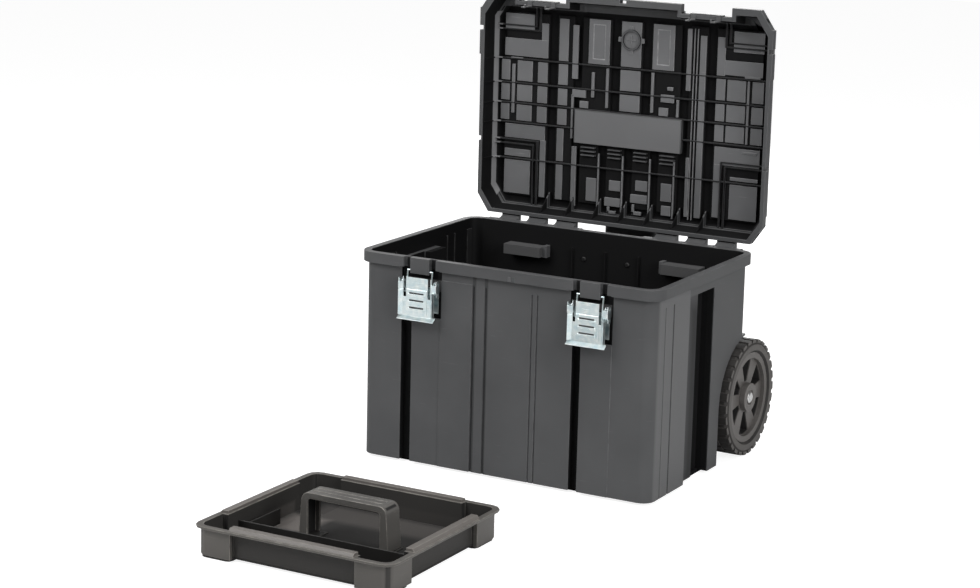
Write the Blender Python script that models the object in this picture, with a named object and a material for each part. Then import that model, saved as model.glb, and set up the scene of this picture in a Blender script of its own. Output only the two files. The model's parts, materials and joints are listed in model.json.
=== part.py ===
# Rolling storage case with a hinged lid, two draw latches, a telescopic pull handle and a lift-out tray.
# Metres, +Z up. The origin is the centre of the case's flat underside.
# X runs along the front, Y to the back.
import math

import bmesh
import bpy
from mathutils import Matrix, Vector

# Case
case_width = 0.552
case_depth = 0.382
case_height = 0.353
half_width = case_width / 2
half_depth = case_depth / 2
wall = 0.0035
rim_overhang = 0.0085
rim_height = 0.018
rim_radius = 0.030
plain_band = 0.033
floor_thickness = 0.004
foot_height = 0.005
base_inset = 0.018
corner_steps = 5
gap = 0.0003

# Relief of the walls, as (from, to, depth) along X on the front and along Y on the sides.
# Places along the front and in the lid are shares of the case's width and depth.
channel_depth = 0.012
groove_depth = 0.0016
groove_width = 0.004
fine_groove_width = 0.0025
panel_proud = -0.0012
left_channel = (-0.35145 * case_width, -0.31522 * case_width)
right_channel = (0.22283 * case_width, 0.25181 * case_width)
left_panel = (-0.21739 * case_width, -0.10870 * case_width)
right_panel = (right_channel[1], 0.35145 * case_width)
left_groove = -0.06703 * case_width
right_grooves = (0.08696 * case_width, 0.10507 * case_width)
front_channels = [(*left_channel, channel_depth), (*right_channel, channel_depth)]
front_grooves = [
    (*left_panel, panel_proud),
    (left_panel[1], left_panel[1] + groove_width, groove_depth),
    (left_groove, left_groove + groove_width, groove_depth),
    (right_grooves[0], right_grooves[0] + fine_groove_width, groove_depth),
    (right_grooves[1], right_grooves[1] + fine_groove_width, groove_depth),
    (*right_panel, panel_proud),
]
grip_shelf_depth = 0.009
grip_pocket_depth = 0.022
side_shelf = (-0.13613 * case_depth, -0.01047 * case_depth)
side_pocket_end = 0.10995 * case_depth
side_fine_groove = -0.37958 * case_depth
side_groove = -0.30105 * case_depth
side_pockets = [(*side_shelf, grip_shelf_depth), (side_shelf[1], side_pocket_end, grip_pocket_depth)]
side_grooves = [
    (side_fine_groove, side_fine_groove + fine_groove_width, groove_depth),
    (side_groove, side_groove + groove_width, groove_depth),
]
back_rib_pitch = 0.11594 * case_width
back_ribs_x = [place * back_rib_pitch for place in (-2, -1, 0, 1, 2)]
inner_rib = 0.0025
inner_rib_height = 0.005

# Ledges inside that carry the stored tray
ledge_x = 0.27536 * case_width
ledge_width = 0.072
ledge_reach = 0.026
ledge_drop = 0.035
ledge_depth = 0.018
ledge_top = case_height - ledge_drop

# Wheels and axle
wheel_radius = 0.100
wheel_width = 0.044
wheel_outset = 0.002
wheel_setback = 0.001
wheel_outer_x = half_width + wheel_outset
wheel_y = half_depth - wheel_setback
well_clearance = 0.010
well_side_clearance = 0.005
axle_radius = 0.006
running_clearance = 0.0004
axle_overhang = 0.006
hub_radius = 0.0775
hub_face_recess = 0.011
web_thickness = 0.016
cap_recess = 0.005
boss_radius = 0.020
bush_radius = 0.0095
spoke_count = 6
spoke_root = 0.018
spoke_width = 0.030
lug_count = 30
lug_height = 0.003
lug_width = 0.0155
axle_block_inset = 0.0665
axle_block_x = wheel_outer_x - axle_block_inset
axle_block_width = 0.030
axle_washer_radius = 0.0105
block_screw_rise = 0.013

# Lid, described as it lies closed
lid_nose = 0.016
lid_setback = 0.002
lid_depth = case_depth + lid_nose - lid_setback
lid_thickness = 0.050
lid_rim_height = 0.013
lid_overhang = 0.0035
lid_nose_lip = 0.0045
lid_draft = 0.18
lid_wall = 0.0036
lid_side_wall = 0.0032
lid_chamfer_x = 0.022
lid_chamfer_y = 0.032
lid_top_bevel = 0.013
lid_seat_gap = 0.0005
lid_rib = 0.0022
lid_rib_rise = 0.004
lid_wall_rib = 0.0025
lid_rib_recess = 0.004
lid_panel = 0.005
lid_long_ribs = [
    0.26178 * case_depth,
    0.43194 * case_depth,
    0.52356 * case_depth,
    0.61780 * case_depth,
    0.73037 * case_depth,
]
lid_slot_half = 0.0085
lid_outer_slots = [0.18659 * case_width, 0.27536 * case_width]
lid_front_slot = 0.05435 * case_width
lid_back_slots = [-0.09058 * case_width, 0.0, 0.09058 * case_width]
lid_cell_x = 0.32246 * case_width
lid_cell_back = 0.35079 * case_depth
lid_cell_front = 0.86649 * case_depth
lid_cell_pair = 0.0075
lid_cell_rise = 0.005
lid_gussets = sorted([-x for x in lid_outer_slots] + lid_back_slots + lid_outer_slots)
lid_gusset_reach = 0.033
lid_boss_height = 0.86126 * case_depth
lid_boss_radius = 0.0185
lid_boss_wall = 0.0035
lid_notch_heights = [0.35864 * case_depth, 0.87435 * case_depth]
lid_notch_depth = 0.0045
lid_ear_reach = 0.0025
lid_ear_height = 0.75131 * case_depth
lid_plate_gap = 0.0115
lid_plate_end = 0.05435 * case_width
lid_plate_thickness = 0.0018
padlock_x = 0.0

# Finger pocket in the lid's top, and the bar across it
pocket_half_x = 0.18116 * case_width
pocket_back = 0.37696 * case_depth
pocket_front = 0.51571 * case_depth
pocket_depth = 0.014
pocket_wall = 0.003
grip_bar_half = 0.010
grip_bar_thickness = 0.005

# Hinge
hinge_reach = 0.012
hinge_drop = 0.008
hinge_y = half_depth + hinge_reach
hinge_z = case_height - hinge_drop
hinge_back_gap = hinge_reach + lid_setback
knuckle_radius = 0.0068
knuckle_clearance = 0.0006
hinge_pin_radius = 0.0022
lid_knuckles = [
    (0.14130 * case_width, 0.21196 * case_width),
    (0.24819 * case_width, 0.31159 * case_width),
    (0.34783 * case_width, 0.40942 * case_width),
]
case_knuckle_ends = (0.10870 * case_width, 0.44203 * case_width)

# Draw latches
latch_inset = 0.120
latch_x = half_width - latch_inset
latch_width = 0.072
latch_top = case_height - 0.031
latch_bottom = case_height - 0.097
latch_sheet = 0.0015
latch_pocket_depth = 0.005
latch_pivot_setback = 0.0005
latch_pivot_drop = 0.040
latch_pivot_y = latch_pivot_setback - half_depth
latch_pivot_z = case_height - latch_pivot_drop
latch_front = 0.0075
bail_drop = 0.0165
bail_setback = 0.0015
bail_wire = 0.0013
bail_leg_x = 0.023
bail_top = case_height - 0.021
bail_lean = 0.0042
bail_hook = 0.0045
latch_pin_radius = 0.0015
bore_clearance = 0.0006
tongue_half = 0.0165
slot_outer = 0.0305
lid_latch_notch = 0.0465
rivet_length = 0.009
tongue_drop = 0.008
lever_shoulder = 0.011
lever_waist = 0.004
lever_panel_half = 0.0195
lever_panel_rise = 0.001
lever_rib_half = 0.0155
lever_rib_width = 0.004
lever_rib_rises = [0.0105, 0.0225, 0.0345]
catch_half = 0.030
catch_plate = 0.0022
catch_finger = (0.0190, 0.0270)
catch_toe = (0.0187, 0.0211)

# Pull handle
handle_clearance = 0.007
handle_tube_x = 0.033
outer_tube_radius = 0.011
tube_wall = 0.0012
tube_clearance = 0.0004
tube_bottom = 0.036
outer_tube_top = case_height - 0.035
release_rod_rise = 0.030
grip_half_width = 0.050
grip_half_depth = 0.0125
grip_bottom = case_height - 0.0275
grip_height = 0.026
bracket_half_width = 0.052
upper_bracket_z = case_height - 0.061
lower_bracket_z = 0.030
bracket_height = 0.026
button_half_width = 0.011
button_half_depth = 0.006
button_travel = 0.004
spring_wire = 0.0004
spring_radius = 0.0045
spring_turns = 3

# Tray
tray_x = -0.023
tray_stand_off = 0.415
tray_y = -half_depth - tray_stand_off
tray_width = 0.344
tray_depth = 0.329
tray_height = 0.055
tray_wall = 0.0026
tray_rim = 0.007
tray_rim_thickness = 0.004
tray_rail_rise = 0.005
tray_rail_width = 0.017
tray_foot = 0.004
tray_corner = 0.020
tray_post_x = 0.065
tray_post_y = 0.070
tray_recess = 0.010
tray_handle_width = 0.158
tray_handle_depth = 0.038
tray_handle_top = 0.080
tray_handle_bar = 0.016
tray_leg = 0.026
tray_seat = 0.003
tray_rail_y = -0.069
tray_rail_height = 0.028
tray_rail_thickness = 0.003
tray_cross_end = 0.022

# Fasteners
screw_radius = 0.0022
screw_head_radius = 0.0042
screw_head_height = 0.0022
screw_length = 0.013
screw_x = 0.042

round_steps = 20


def clear_scene():
    for old in list(bpy.data.objects):
        bpy.data.objects.remove(old)


def material(name, colour, roughness, metallic=0.0):
    made = bpy.data.materials.new(name)
    made.use_nodes = True
    shader = made.node_tree.nodes["Principled BSDF"]
    shader.inputs["Base Color"].default_value = (*colour, 1.0)
    shader.inputs["Roughness"].default_value = roughness
    shader.inputs["Metallic"].default_value = metallic
    made.diffuse_color = (*colour, 1.0)
    return made


def add_object(name, bm, surface=None, parent=None):
    bmesh.ops.recalc_face_normals(bm, faces=bm.faces)
    mesh = bpy.data.meshes.new(name)
    bm.to_mesh(mesh)
    bm.free()
    made = bpy.data.objects.new(name, mesh)
    bpy.context.scene.collection.objects.link(made)
    if surface:
        mesh.materials.append(surface)
    if parent:
        made.parent = parent
    return made


def pivot(name, place, turn=(0.0, 0.0, 0.0), parent=None):
    made = bpy.data.objects.new(name, None)
    made.location = place
    made.rotation_euler = turn
    made.parent = parent
    bpy.context.scene.collection.objects.link(made)
    return made


# Shapes: an outline of two coordinates is extruded along the third axis
def add_prism(bm, outline, low, high, axis="Z"):
    def place(a, b, along):
        if axis == "Z":
            return (a, b, along)
        if axis == "Y":
            return (a, along, b)
        return (along, a, b)

    base = [bm.verts.new(place(a, b, low)) for a, b in outline]
    face = bm.faces.new(base)
    rise = Vector(place(0.0, 0.0, high - low))
    made = bmesh.ops.extrude_face_region(bm, geom=[face])
    tops = [item for item in made["geom"] if isinstance(item, bmesh.types.BMVert)]
    bmesh.ops.translate(bm, verts=tops, vec=rise)


def add_block(bm, low, high):
    outline = [(low[0], low[1]), (high[0], low[1]), (high[0], high[1]), (low[0], high[1])]
    add_prism(bm, outline, low[2], high[2])


def prism(name, outline, low, high, axis="Z", surface=None, parent=None):
    bm = bmesh.new()
    add_prism(bm, outline, low, high, axis)
    return add_object(name, bm, surface, parent)


def blocks(name, corners, surface=None, parent=None):
    bm = bmesh.new()
    for low, high in corners:
        add_block(bm, low, high)
    return add_object(name, bm, surface, parent)


def circle(centre, radius, steps=round_steps, start=0.0, stop=2 * math.pi):
    whole = abs(stop - start - 2 * math.pi) < 1e-6
    count = steps if whole else steps + 1
    return [
        (
            centre[0] + radius * math.cos(start + (stop - start) * i / steps),
            centre[1] + radius * math.sin(start + (stop - start) * i / steps),
        )
        for i in range(count)
    ]


def rounded_rectangle(half_x, half_y, radius, centre=(0.0, 0.0), steps=corner_steps):
    points = []
    for sign_x, sign_y, start in ((1, 1, 0), (-1, 1, 90), (-1, -1, 180), (1, -1, 270)):
        middle = (centre[0] + sign_x * (half_x - radius), centre[1] + sign_y * (half_y - radius))
        begin = math.radians(start)
        points += circle(middle, radius, steps, begin, begin + math.pi / 2)
    return points


def turned(name, profile, centre, steps=round_steps, surface=None, parent=None):
    """Turns a closed profile of (along X, radius) points about the X axis through centre."""
    bm = bmesh.new()
    verts = [bm.verts.new((along, 0.0, radius)) for along, radius in profile]
    edges = [bm.edges.new((verts[i], verts[(i + 1) % len(verts)])) for i in range(len(verts))]
    outline = verts + edges
    turn = 2 * math.pi
    bmesh.ops.spin(
        bm, geom=outline, cent=(0, 0, 0), axis=(1, 0, 0), angle=turn, steps=steps, use_merge=True
    )
    bmesh.ops.remove_doubles(bm, verts=bm.verts, dist=1e-6)
    bmesh.ops.translate(bm, verts=bm.verts, vec=centre)
    made = add_object(name, bm, surface, parent)
    smooth(made)
    return made


def smooth(made, angle=35.0):
    made.data.shade_smooth()
    made.data.set_sharp_from_angle(angle=math.radians(angle))


def combine(target, helper, operation):
    helper.hide_render = True
    helper.display_type = "WIRE"
    change = target.modifiers.new(helper.name, "BOOLEAN")
    change.operation = operation
    change.object = helper
    change.solver = "EXACT"


def fuse(target, helper):
    combine(target, helper, "UNION")


def cut(target, helper):
    combine(target, helper, "DIFFERENCE")


# Case tub
def stepped(steps):
    points = []
    for low, high, depth in sorted(steps):
        if points and abs(points[-1][0] - low) < 1e-6:
            points.pop()
        else:
            points.append((low, 0.0))
        points += [(low, depth), (high, depth), (high, 0.0)]
    return points


def mirrored(steps):
    return [(-high, -low, depth) for low, high, depth in steps]


def wall_outline(half_x, half_y, radius, front, side):
    points = [(at, -half_y + depth) for at, depth in stepped(front)]
    points += circle((half_x - radius, -half_y + radius), radius, corner_steps, -math.pi / 2, 0.0)
    points += [(half_x - depth, at) for at, depth in stepped(side)]
    points += circle((half_x - radius, half_y - radius), radius, corner_steps, 0.0, math.pi / 2)
    points += circle((-half_x + radius, half_y - radius), radius, corner_steps, math.pi / 2, math.pi)
    points += [(-half_x + depth, -at) for at, depth in stepped(mirrored(side))]
    points += circle((-half_x + radius, -half_y + radius), radius, corner_steps, math.pi, 1.5 * math.pi)
    return points


def widened(steps):
    """The inside of a channel: as deep, and wider by the wall on its open sides."""
    ends = [high for low, high, depth in steps]
    starts = [low for low, high, depth in steps]
    made = []
    for low, high, depth in steps:
        begin = low - wall if low not in ends or depth > grip_shelf_depth else low
        finish = high + wall if high not in starts else high - wall
        made.append((begin, finish, depth))
    return made


wall_x = half_width - rim_overhang
wall_y = half_depth - rim_overhang
rim_bottom = case_height - rim_height
relief_top = rim_bottom - plain_band + rim_height
axle_z = wheel_radius
wheel_inner_x = wheel_outer_x - wheel_width
well_face = wheel_inner_x - well_side_clearance


def well_outline(grow):
    radius = wheel_radius + well_clearance + grow
    arch = circle((wheel_y, axle_z), radius, 14, 0.0, math.pi)
    return [(wheel_y - radius, -0.02), (wheel_y + radius, -0.02)] + arch


def case_tub(surface, parent):
    wall_radius = rim_radius - rim_overhang
    inner_radius = wall_radius - wall
    front = front_channels + front_grooves
    outline = wall_outline(wall_x, wall_y, wall_radius, front, side_pockets + side_grooves)
    tub = prism("case_tub", outline, foot_height, relief_top, surface=surface, parent=parent)
    band = rounded_rectangle(wall_x, wall_y, wall_radius)
    fuse(tub, prism("band_helper", band, relief_top - 0.002, case_height - 0.002))
    rim = rounded_rectangle(half_width, half_depth, rim_radius)
    fuse(tub, prism("rim_helper", rim, rim_bottom, case_height))
    base = rounded_rectangle(wall_x - base_inset, wall_y - base_inset, inner_radius)
    fuse(tub, prism("base_helper", base, 0.0, foot_height + 0.002))

    pocket = wall_outline(
        wall_x - wall, wall_y - wall, inner_radius, widened(front_channels), widened(side_pockets)
    )
    floor_top = foot_height + floor_thickness
    cut(tub, prism("cavity_helper", pocket, floor_top, relief_top + wall))
    mouth = rounded_rectangle(wall_x - wall, wall_y - wall, inner_radius)
    cut(tub, prism("mouth_helper", mouth, relief_top + wall - 0.001, case_height + 0.01))
    recess = rounded_rectangle(well_face - wall - 0.0025, wall_y - base_inset - wall, inner_radius)
    cut(tub, prism("floor_recess", recess, floor_thickness, floor_top + 0.001))

    for side, sign in (("left", -1), ("right", 1)):
        low, high = sorted((sign * (well_face - wall), sign * (wall_x - 0.001)))
        housing = prism("well_housing_" + side, well_outline(wall), low, high, "X")
        trim = blocks("well_trim_" + side, [
            ((low - 0.01, -half_depth, -wheel_radius), (high + 0.01, case_depth, foot_height)),
            ((low - 0.01, wall_y - 0.001, foot_height), (high + 0.01, case_depth, case_height)),
        ])
        cut(housing, trim)
        fuse(tub, housing)
        low, high = sorted((sign * well_face, sign * (half_width + 0.01)))
        cut(tub, prism("well_cutter_" + side, well_outline(0.0), low, high, "X"))

    ledges = []
    ribs = []
    inner_y = wall_y - wall
    for sign_x in (-1, 1):
        low_x, high_x = sorted((sign_x * (ledge_x - ledge_width / 2), sign_x * (ledge_x + ledge_width / 2)))
        for sign_y in (-1, 1):
            low_y, high_y = sorted((sign_y * (inner_y - ledge_reach), sign_y * (inner_y + 0.001)))
            ledges.append(((low_x, low_y, ledge_top - ledge_depth), (high_x, high_y, ledge_top)))
    for x in back_ribs_x:
        low = (x - inner_rib / 2, inner_y - inner_rib_height, floor_top - 0.001)
        ribs.append((low, (x + inner_rib / 2, inner_y + 0.001, relief_top)))
    fuse(tub, blocks("ledge_helper", ledges))
    free_x = ledge_x - ledge_width / 2 - 0.01
    fuse(tub, blocks("back_rib_helper", [rib for rib in ribs if abs(rib[0][0]) < free_x]))
    add_latch_seats(tub)
    add_case_knuckles(tub)
    return tub


def add_latch_seats(tub):
    pockets = []
    slots = []
    slot_floor = latch_pivot_y + 0.0087
    for sign in (-1, 1):
        middle = sign * latch_x
        half = latch_width / 2 + 0.002
        pockets.append((
            (middle - half, -half_depth - 0.01, latch_bottom - 0.001),
            (middle + half, -wall_y + latch_pocket_depth, rim_bottom + 0.001),
        ))
        for side in (-1, 1):
            low, high = sorted((middle + side * (tongue_half + 0.0012), middle + side * slot_outer))
            near = (low, -half_depth - 0.01, rim_bottom - 0.004)
            slots.append((near, (high, slot_floor, case_height + 0.01)))
    seat_back = -wall_y + channel_depth + wall
    seat_wall = [
        ((low[0] - wall, -wall_y + 0.001, low[2] - wall), (high[0] + wall, seat_back, high[2] + 0.004))
        for low, high in pockets
    ]
    fuse(tub, blocks("latch_seat_helper", seat_wall))
    cut(tub, blocks("latch_pocket_helper", pockets))
    reach = tongue_half + 0.0012
    tongues = []
    for middle in (-latch_x, latch_x):
        low = (middle - reach, -half_depth, rim_bottom - tongue_drop)
        tongues.append((low, (middle + reach, latch_pocket_depth - wall_y + 0.001, rim_bottom + 0.002)))
    fuse(tub, blocks("latch_tongue_helper", tongues))
    cut(tub, blocks("latch_slot_helper", slots))


# Hinge
def case_knuckle_spans():
    edges = [case_knuckle_ends[0]]
    for low, high in lid_knuckles:
        edges += [low - knuckle_clearance, high + knuckle_clearance]
    edges.append(case_knuckle_ends[1])
    return [(edges[i], edges[i + 1]) for i in range(0, len(edges), 2)]


def knuckle_spans(spans):
    return [(-high, -low) for low, high in spans] + list(spans)


def add_case_knuckles(tub):
    bm = bmesh.new()
    reach = half_depth - 0.002
    arc = circle((hinge_y, hinge_z), knuckle_radius, 8, -math.pi / 2, math.pi / 2)
    outline = arc + [(reach, hinge_z + knuckle_radius), (reach, hinge_z - knuckle_radius)]
    for low, high in knuckle_spans(case_knuckle_spans()):
        add_prism(bm, outline, low, high, "X")
    fuse(tub, add_object("case_knuckle_helper", bm))
    cut(tub, pin_bores("case_pin_bores", (hinge_y, hinge_z)))


def pin_bores(name, centre):
    bm = bmesh.new()
    bore = circle(centre, hinge_pin_radius + running_clearance, 12)
    for low, high in knuckle_spans([(case_knuckle_ends[0] - 0.01, case_knuckle_ends[1] + 0.01)]):
        add_prism(bm, bore, low, high, "X")
    return add_object(name, bm)


def hinge_pins(surface, parent):
    for side, sign in (("left", -1), ("right", 1)):
        low, high = sorted((sign * (case_knuckle_ends[0] - 0.001), sign * (case_knuckle_ends[1] + 0.001)))
        ring = circle((hinge_y, hinge_z), hinge_pin_radius, 12)
        pin = prism("hinge_pin_" + side, ring, low, high, "X", surface, parent)
        smooth(pin)


# Lid, built closed around the hinge axis and stood open by its pivot. Its own Y is minus the open height
lid_back = -hinge_back_gap
lid_front = lid_back - lid_depth
lid_low = case_height + lid_seat_gap - hinge_z
lid_high = lid_low + lid_thickness
lid_floor = lid_high - lid_wall
lid_inside = lid_overhang + lid_side_wall
inner_bevel = lid_top_bevel - 0.001
floor_inset = lid_inside + lid_draft * (lid_floor - lid_low) + inner_bevel
inside_x = half_width - lid_inside
inside_back = lid_back - lid_inside
inside_front = lid_front + lid_nose_lip + lid_inside
floor_x = half_width - floor_inset
panel_x = floor_x - 0.003
panel_back = lid_back - floor_inset - 0.001
panel_front = lid_front + lid_nose_lip + floor_inset + 0.009
panel_level = lid_floor - lid_panel
slot_top = lid_floor + 0.001


def at_height(height):
    """The lid's own Y of a line this far above the case's rim when the lid stands open."""
    return hinge_z - case_height - height


def lid_outline(inset):
    half = half_width - inset
    back = lid_back - inset
    front = lid_front + inset + (lid_nose_lip if inset > 0.0 else 0.0)
    notch = -hinge_y - half_depth + inset
    cut_x = lid_chamfer_x
    cut_y = lid_chamfer_y
    points = [(half, back - cut_y), (half - cut_x, back), (-half + cut_x, back), (-half, back - cut_y)]
    points += [(-half, front + cut_y), (-half + cut_x, front)]
    for middle in (-latch_x, latch_x):
        low = middle - lid_latch_notch - inset
        high = middle + lid_latch_notch + inset
        points += [(low, front), (low, notch), (high, notch), (high, front)]
    points += [(half - cut_x, front), (half, front + cut_y)]
    return points


def chamfered_top(made, top, width):
    weights = made.data.attributes.new("bevel_weight_edge", "FLOAT", "EDGE")
    for edge in made.data.edges:
        ends = [made.data.vertices[v].co.z for v in edge.vertices]
        weights.data[edge.index].value = 1.0 if min(ends) > top - 1e-5 else 0.0
    bevel = made.modifiers.new("top_edge", "BEVEL")
    bevel.width = width
    bevel.segments = 1
    bevel.limit_method = "WEIGHT"
    return made


def drafted(name, inset, low, high, parent):
    """The lid's outline from low to high, drawn in by its draft. The inset is at the lid's mouth."""
    outlines = []
    for level in (low, high):
        outlines.append((lid_outline(inset + lid_draft * (level - lid_low)), level))
    bm = bmesh.new()
    rings = [[bm.verts.new((a, b, level)) for a, b in outline] for outline, level in outlines]
    bm.faces.new(rings[0][::-1])
    bm.faces.new(rings[1])
    count = len(rings[0])
    for i in range(count):
        follow = (i + 1) % count
        bm.faces.new((rings[0][i], rings[0][follow], rings[1][follow], rings[1][i]))
    return add_object(name, bm, parent=parent)


def lid_shell(surface, parent):
    rim_top = lid_low + lid_rim_height
    lid = prism("lid_shell", lid_outline(0.0), lid_low, rim_top, surface=surface, parent=parent)
    body = drafted("lid_body_helper", lid_overhang, lid_low + 0.001, lid_high, parent)
    fuse(lid, chamfered_top(body, lid_high, lid_top_bevel))
    ears = []
    for sign in (-1, 1):
        low_x, high_x = sorted((sign * (half_width - 0.001), sign * (half_width + lid_ear_reach)))
        ear_end = (high_x, at_height(lid_ear_height), rim_top)
        ears.append(((low_x, lid_front + lid_chamfer_y, lid_low), ear_end))
    fuse(lid, blocks("lid_ear_helper", ears, parent=parent))
    cavity = drafted("lid_cavity_helper", lid_inside, lid_low - 0.01, lid_floor, parent)
    cut(lid, chamfered_top(cavity, lid_floor, inner_bevel))
    space = drafted("lid_space_helper", lid_inside - 0.001, lid_low + 0.0005, slot_top, parent)
    space = chamfered_top(space, slot_top, inner_bevel)
    space.hide_render = True
    add_lid_panels(lid, space, parent)
    add_lid_ribs(lid, space, parent)
    add_lid_cells(lid, space, parent)
    add_grip_pocket(lid, parent)
    add_lid_edge_cuts(lid, parent)
    add_lid_knuckles(lid, parent)
    return lid


def fuse_inside(lid, helper, space):
    """Joins only the part of the helper that lies inside the lid's walls."""
    combine(helper, space, "INTERSECT")
    fuse(lid, helper)


def add_lid_panels(lid, space, parent):
    """Raised panels on the lid's floor, with deep slots between them."""
    low = panel_level
    inner = lid_outer_slots[0] - lid_slot_half
    columns = []
    for sign in (-1, 1):
        for start, stop in ((lid_outer_slots[0], lid_outer_slots[1]), (lid_outer_slots[1], None)):
            far = panel_x if stop is None else stop - lid_slot_half
            near_x, far_x = sorted((sign * (start + lid_slot_half), sign * far))
            columns.append(((near_x, panel_front, low), (far_x, panel_back, slot_top)))
        near_x, far_x = sorted((sign * (lid_front_slot + lid_slot_half), sign * inner))
        columns.append(((near_x, panel_front, low), (far_x, at_height(pocket_front) - 0.004, slot_top)))
    middle = lid_front_slot - lid_slot_half
    columns.append(((-middle, panel_front, low), (middle, at_height(pocket_front) - 0.004, slot_top)))
    edges = [-inner]
    for x in lid_back_slots:
        edges += [x - lid_slot_half, x + lid_slot_half]
    edges.append(inner)
    for i in range(0, len(edges), 2):
        start = (edges[i], at_height(pocket_back) + 0.004, low)
        columns.append((start, (edges[i + 1], panel_back, slot_top)))
    fuse_inside(lid, blocks("lid_panel_helper", columns, parent=parent), space)
    boss = circle((0.0, at_height(lid_boss_height)), lid_boss_radius, 18)
    fuse(lid, prism("lid_boss_helper", boss, low - 0.006, slot_top, parent=parent))
    boss_core = circle((0.0, at_height(lid_boss_height)), lid_boss_radius - lid_boss_wall, 18)
    cut(lid, prism("lid_boss_hollow", boss_core, low - 0.02, low - 0.001, parent=parent))


def add_lid_ribs(lid, space, parent):
    """Low ribs along the floor, each carried up both side walls, and gussets in the back corner."""
    half = lid_rib / 2
    across = []
    bm = bmesh.new()
    mouth = lid_low + lid_rib_recess
    chamfer = lid_floor - inner_bevel
    chamfer_x = inside_x - lid_draft * (chamfer - lid_low)
    for height in lid_long_ribs:
        y = at_height(height)
        broken = pocket_back < height < pocket_front
        spans = [(-half_width, half_width)]
        if broken:
            spans = [(-half_width, -pocket_half_x), (pocket_half_x, half_width)]
        for low_x, high_x in spans:
            low = (low_x, y - half, panel_level - lid_rib_rise)
            across.append((low, (high_x, y + half, slot_top + 0.002)))
        for sign in (-1, 1):
            outline = [
                (sign * half_width, mouth),
                (sign * (inside_x - lid_wall_rib), mouth),
                (sign * (chamfer_x - lid_wall_rib), chamfer),
                (sign * (floor_x - lid_wall_rib), panel_level),
                (sign * half_width, panel_level),
            ]
            add_prism(bm, outline, y - half, y + half, "Y")
    fuse_inside(lid, blocks("lid_long_rib_helper", across, parent=parent), space)
    fuse_inside(lid, add_object("lid_wall_rib_helper", bm, parent=parent), space)
    bm = bmesh.new()
    outline = [
        (lid_back, mouth + 0.002),
        (inside_back - lid_wall_rib, mouth + 0.002),
        (inside_back - lid_gusset_reach, panel_level),
        (inside_back - lid_gusset_reach, slot_top + 0.002),
        (lid_back, slot_top + 0.002),
    ]
    for x in lid_gussets:
        add_prism(bm, outline, x - half, x + half, "X")
    fuse_inside(lid, add_object("lid_gusset_helper", bm, parent=parent), space)
    bars = []
    edges = [-lid_outer_slots[0] + lid_slot_half]
    for slot in lid_back_slots:
        edges += [slot - lid_slot_half, slot + lid_slot_half]
    edges.append(lid_outer_slots[0] - lid_slot_half)
    for i in range(0, len(edges), 2):
        for k in range(3):
            y = at_height(pocket_back) + 0.010 + 0.007 * k
            low = (edges[i] + 0.004, y - half, panel_level - 0.006)
            bars.append((low, (edges[i + 1] - 0.004, y + half, panel_level + 0.001)))
    fuse(lid, blocks("lid_bar_helper", bars, parent=parent))


def add_lid_cells(lid, space, parent):
    """Two nested L-shaped ribs in each corner."""
    half = lid_rib / 2
    low = panel_level - lid_cell_rise
    for name, sign_x, height, end in (
        ("back_left", -1, lid_cell_back, inside_back),
        ("back_right", 1, lid_cell_back, inside_back),
        ("front_left", -1, lid_cell_front, inside_front),
        ("front_right", 1, lid_cell_front, inside_front),
    ):
        bm = bmesh.new()
        toward = 1 if end > at_height(height) else -1
        for step in (0.0, lid_cell_pair):
            x = sign_x * (lid_cell_x + step)
            y = at_height(height) + toward * step
            far = sign_x * half_width
            outline = [
                (x - sign_x * half, y - toward * half),
                (far, y - toward * half),
                (far, y + toward * half),
                (x + sign_x * half, y + toward * half),
                (x + sign_x * half, end),
                (x - sign_x * half, end),
            ]
            add_prism(bm, outline, low, slot_top + 0.002)
        fuse_inside(lid, add_object("lid_cell_helper_" + name, bm, parent=parent), space)


def add_grip_pocket(lid, parent):
    floor = lid_high - pocket_depth
    back = at_height(pocket_back)
    front = at_height(pocket_front)
    edge = pocket_wall
    low = (-pocket_half_x - edge, front - edge, floor - edge)
    high = (pocket_half_x + edge, back + edge, lid_high - 0.001)
    fuse(lid, blocks("grip_pocket_shell", [(low, high)], parent=parent))
    hollow = [((-pocket_half_x, front, floor), (pocket_half_x, back, lid_high + 0.01))]
    cut(lid, blocks("grip_pocket_hollow", hollow, parent=parent))


def add_lid_edge_cuts(lid, parent):
    """Two notches in each side of the rim, and the padlock hole at the middle of its front."""
    cuts = []
    for height in lid_notch_heights:
        y = at_height(height)
        for sign in (-1, 1):
            low_x, high_x = sorted((sign * (half_width - lid_notch_depth), sign * (half_width + 0.01)))
            cuts.append(((low_x, y - 0.004, lid_low - 0.01), (high_x, y + 0.004, lid_high)))
    low = (padlock_x - 0.006, lid_front + 0.0015, lid_low - 0.01)
    cuts.append((low, (padlock_x + 0.006, lid_front + lid_overhang + lid_nose_lip - 0.001, lid_high)))
    cut(lid, blocks("lid_edge_cuts", cuts, parent=parent))


def add_lid_knuckles(lid, parent):
    bm = bmesh.new()
    inner = lid_back + 0.0035
    arc = circle((0.0, 0.0), knuckle_radius, 8, -math.pi, 0.0)
    outline = arc + [
        (knuckle_radius, lid_low + 0.012),
        (lid_back - 0.002, lid_low + lid_rim_height - 0.001),
        (lid_back - 0.002, lid_low + 0.003),
        (inner, lid_low + 0.003),
        (inner + 0.0035, 0.004),
    ]
    for low, high in knuckle_spans(lid_knuckles):
        add_prism(bm, outline, low, high, "X")
    fuse(lid, add_object("lid_knuckle_helper", bm, parent=parent))
    bores = pin_bores("lid_pin_bores", (0.0, 0.0))
    bores.parent = parent
    cut(lid, bores)


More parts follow.
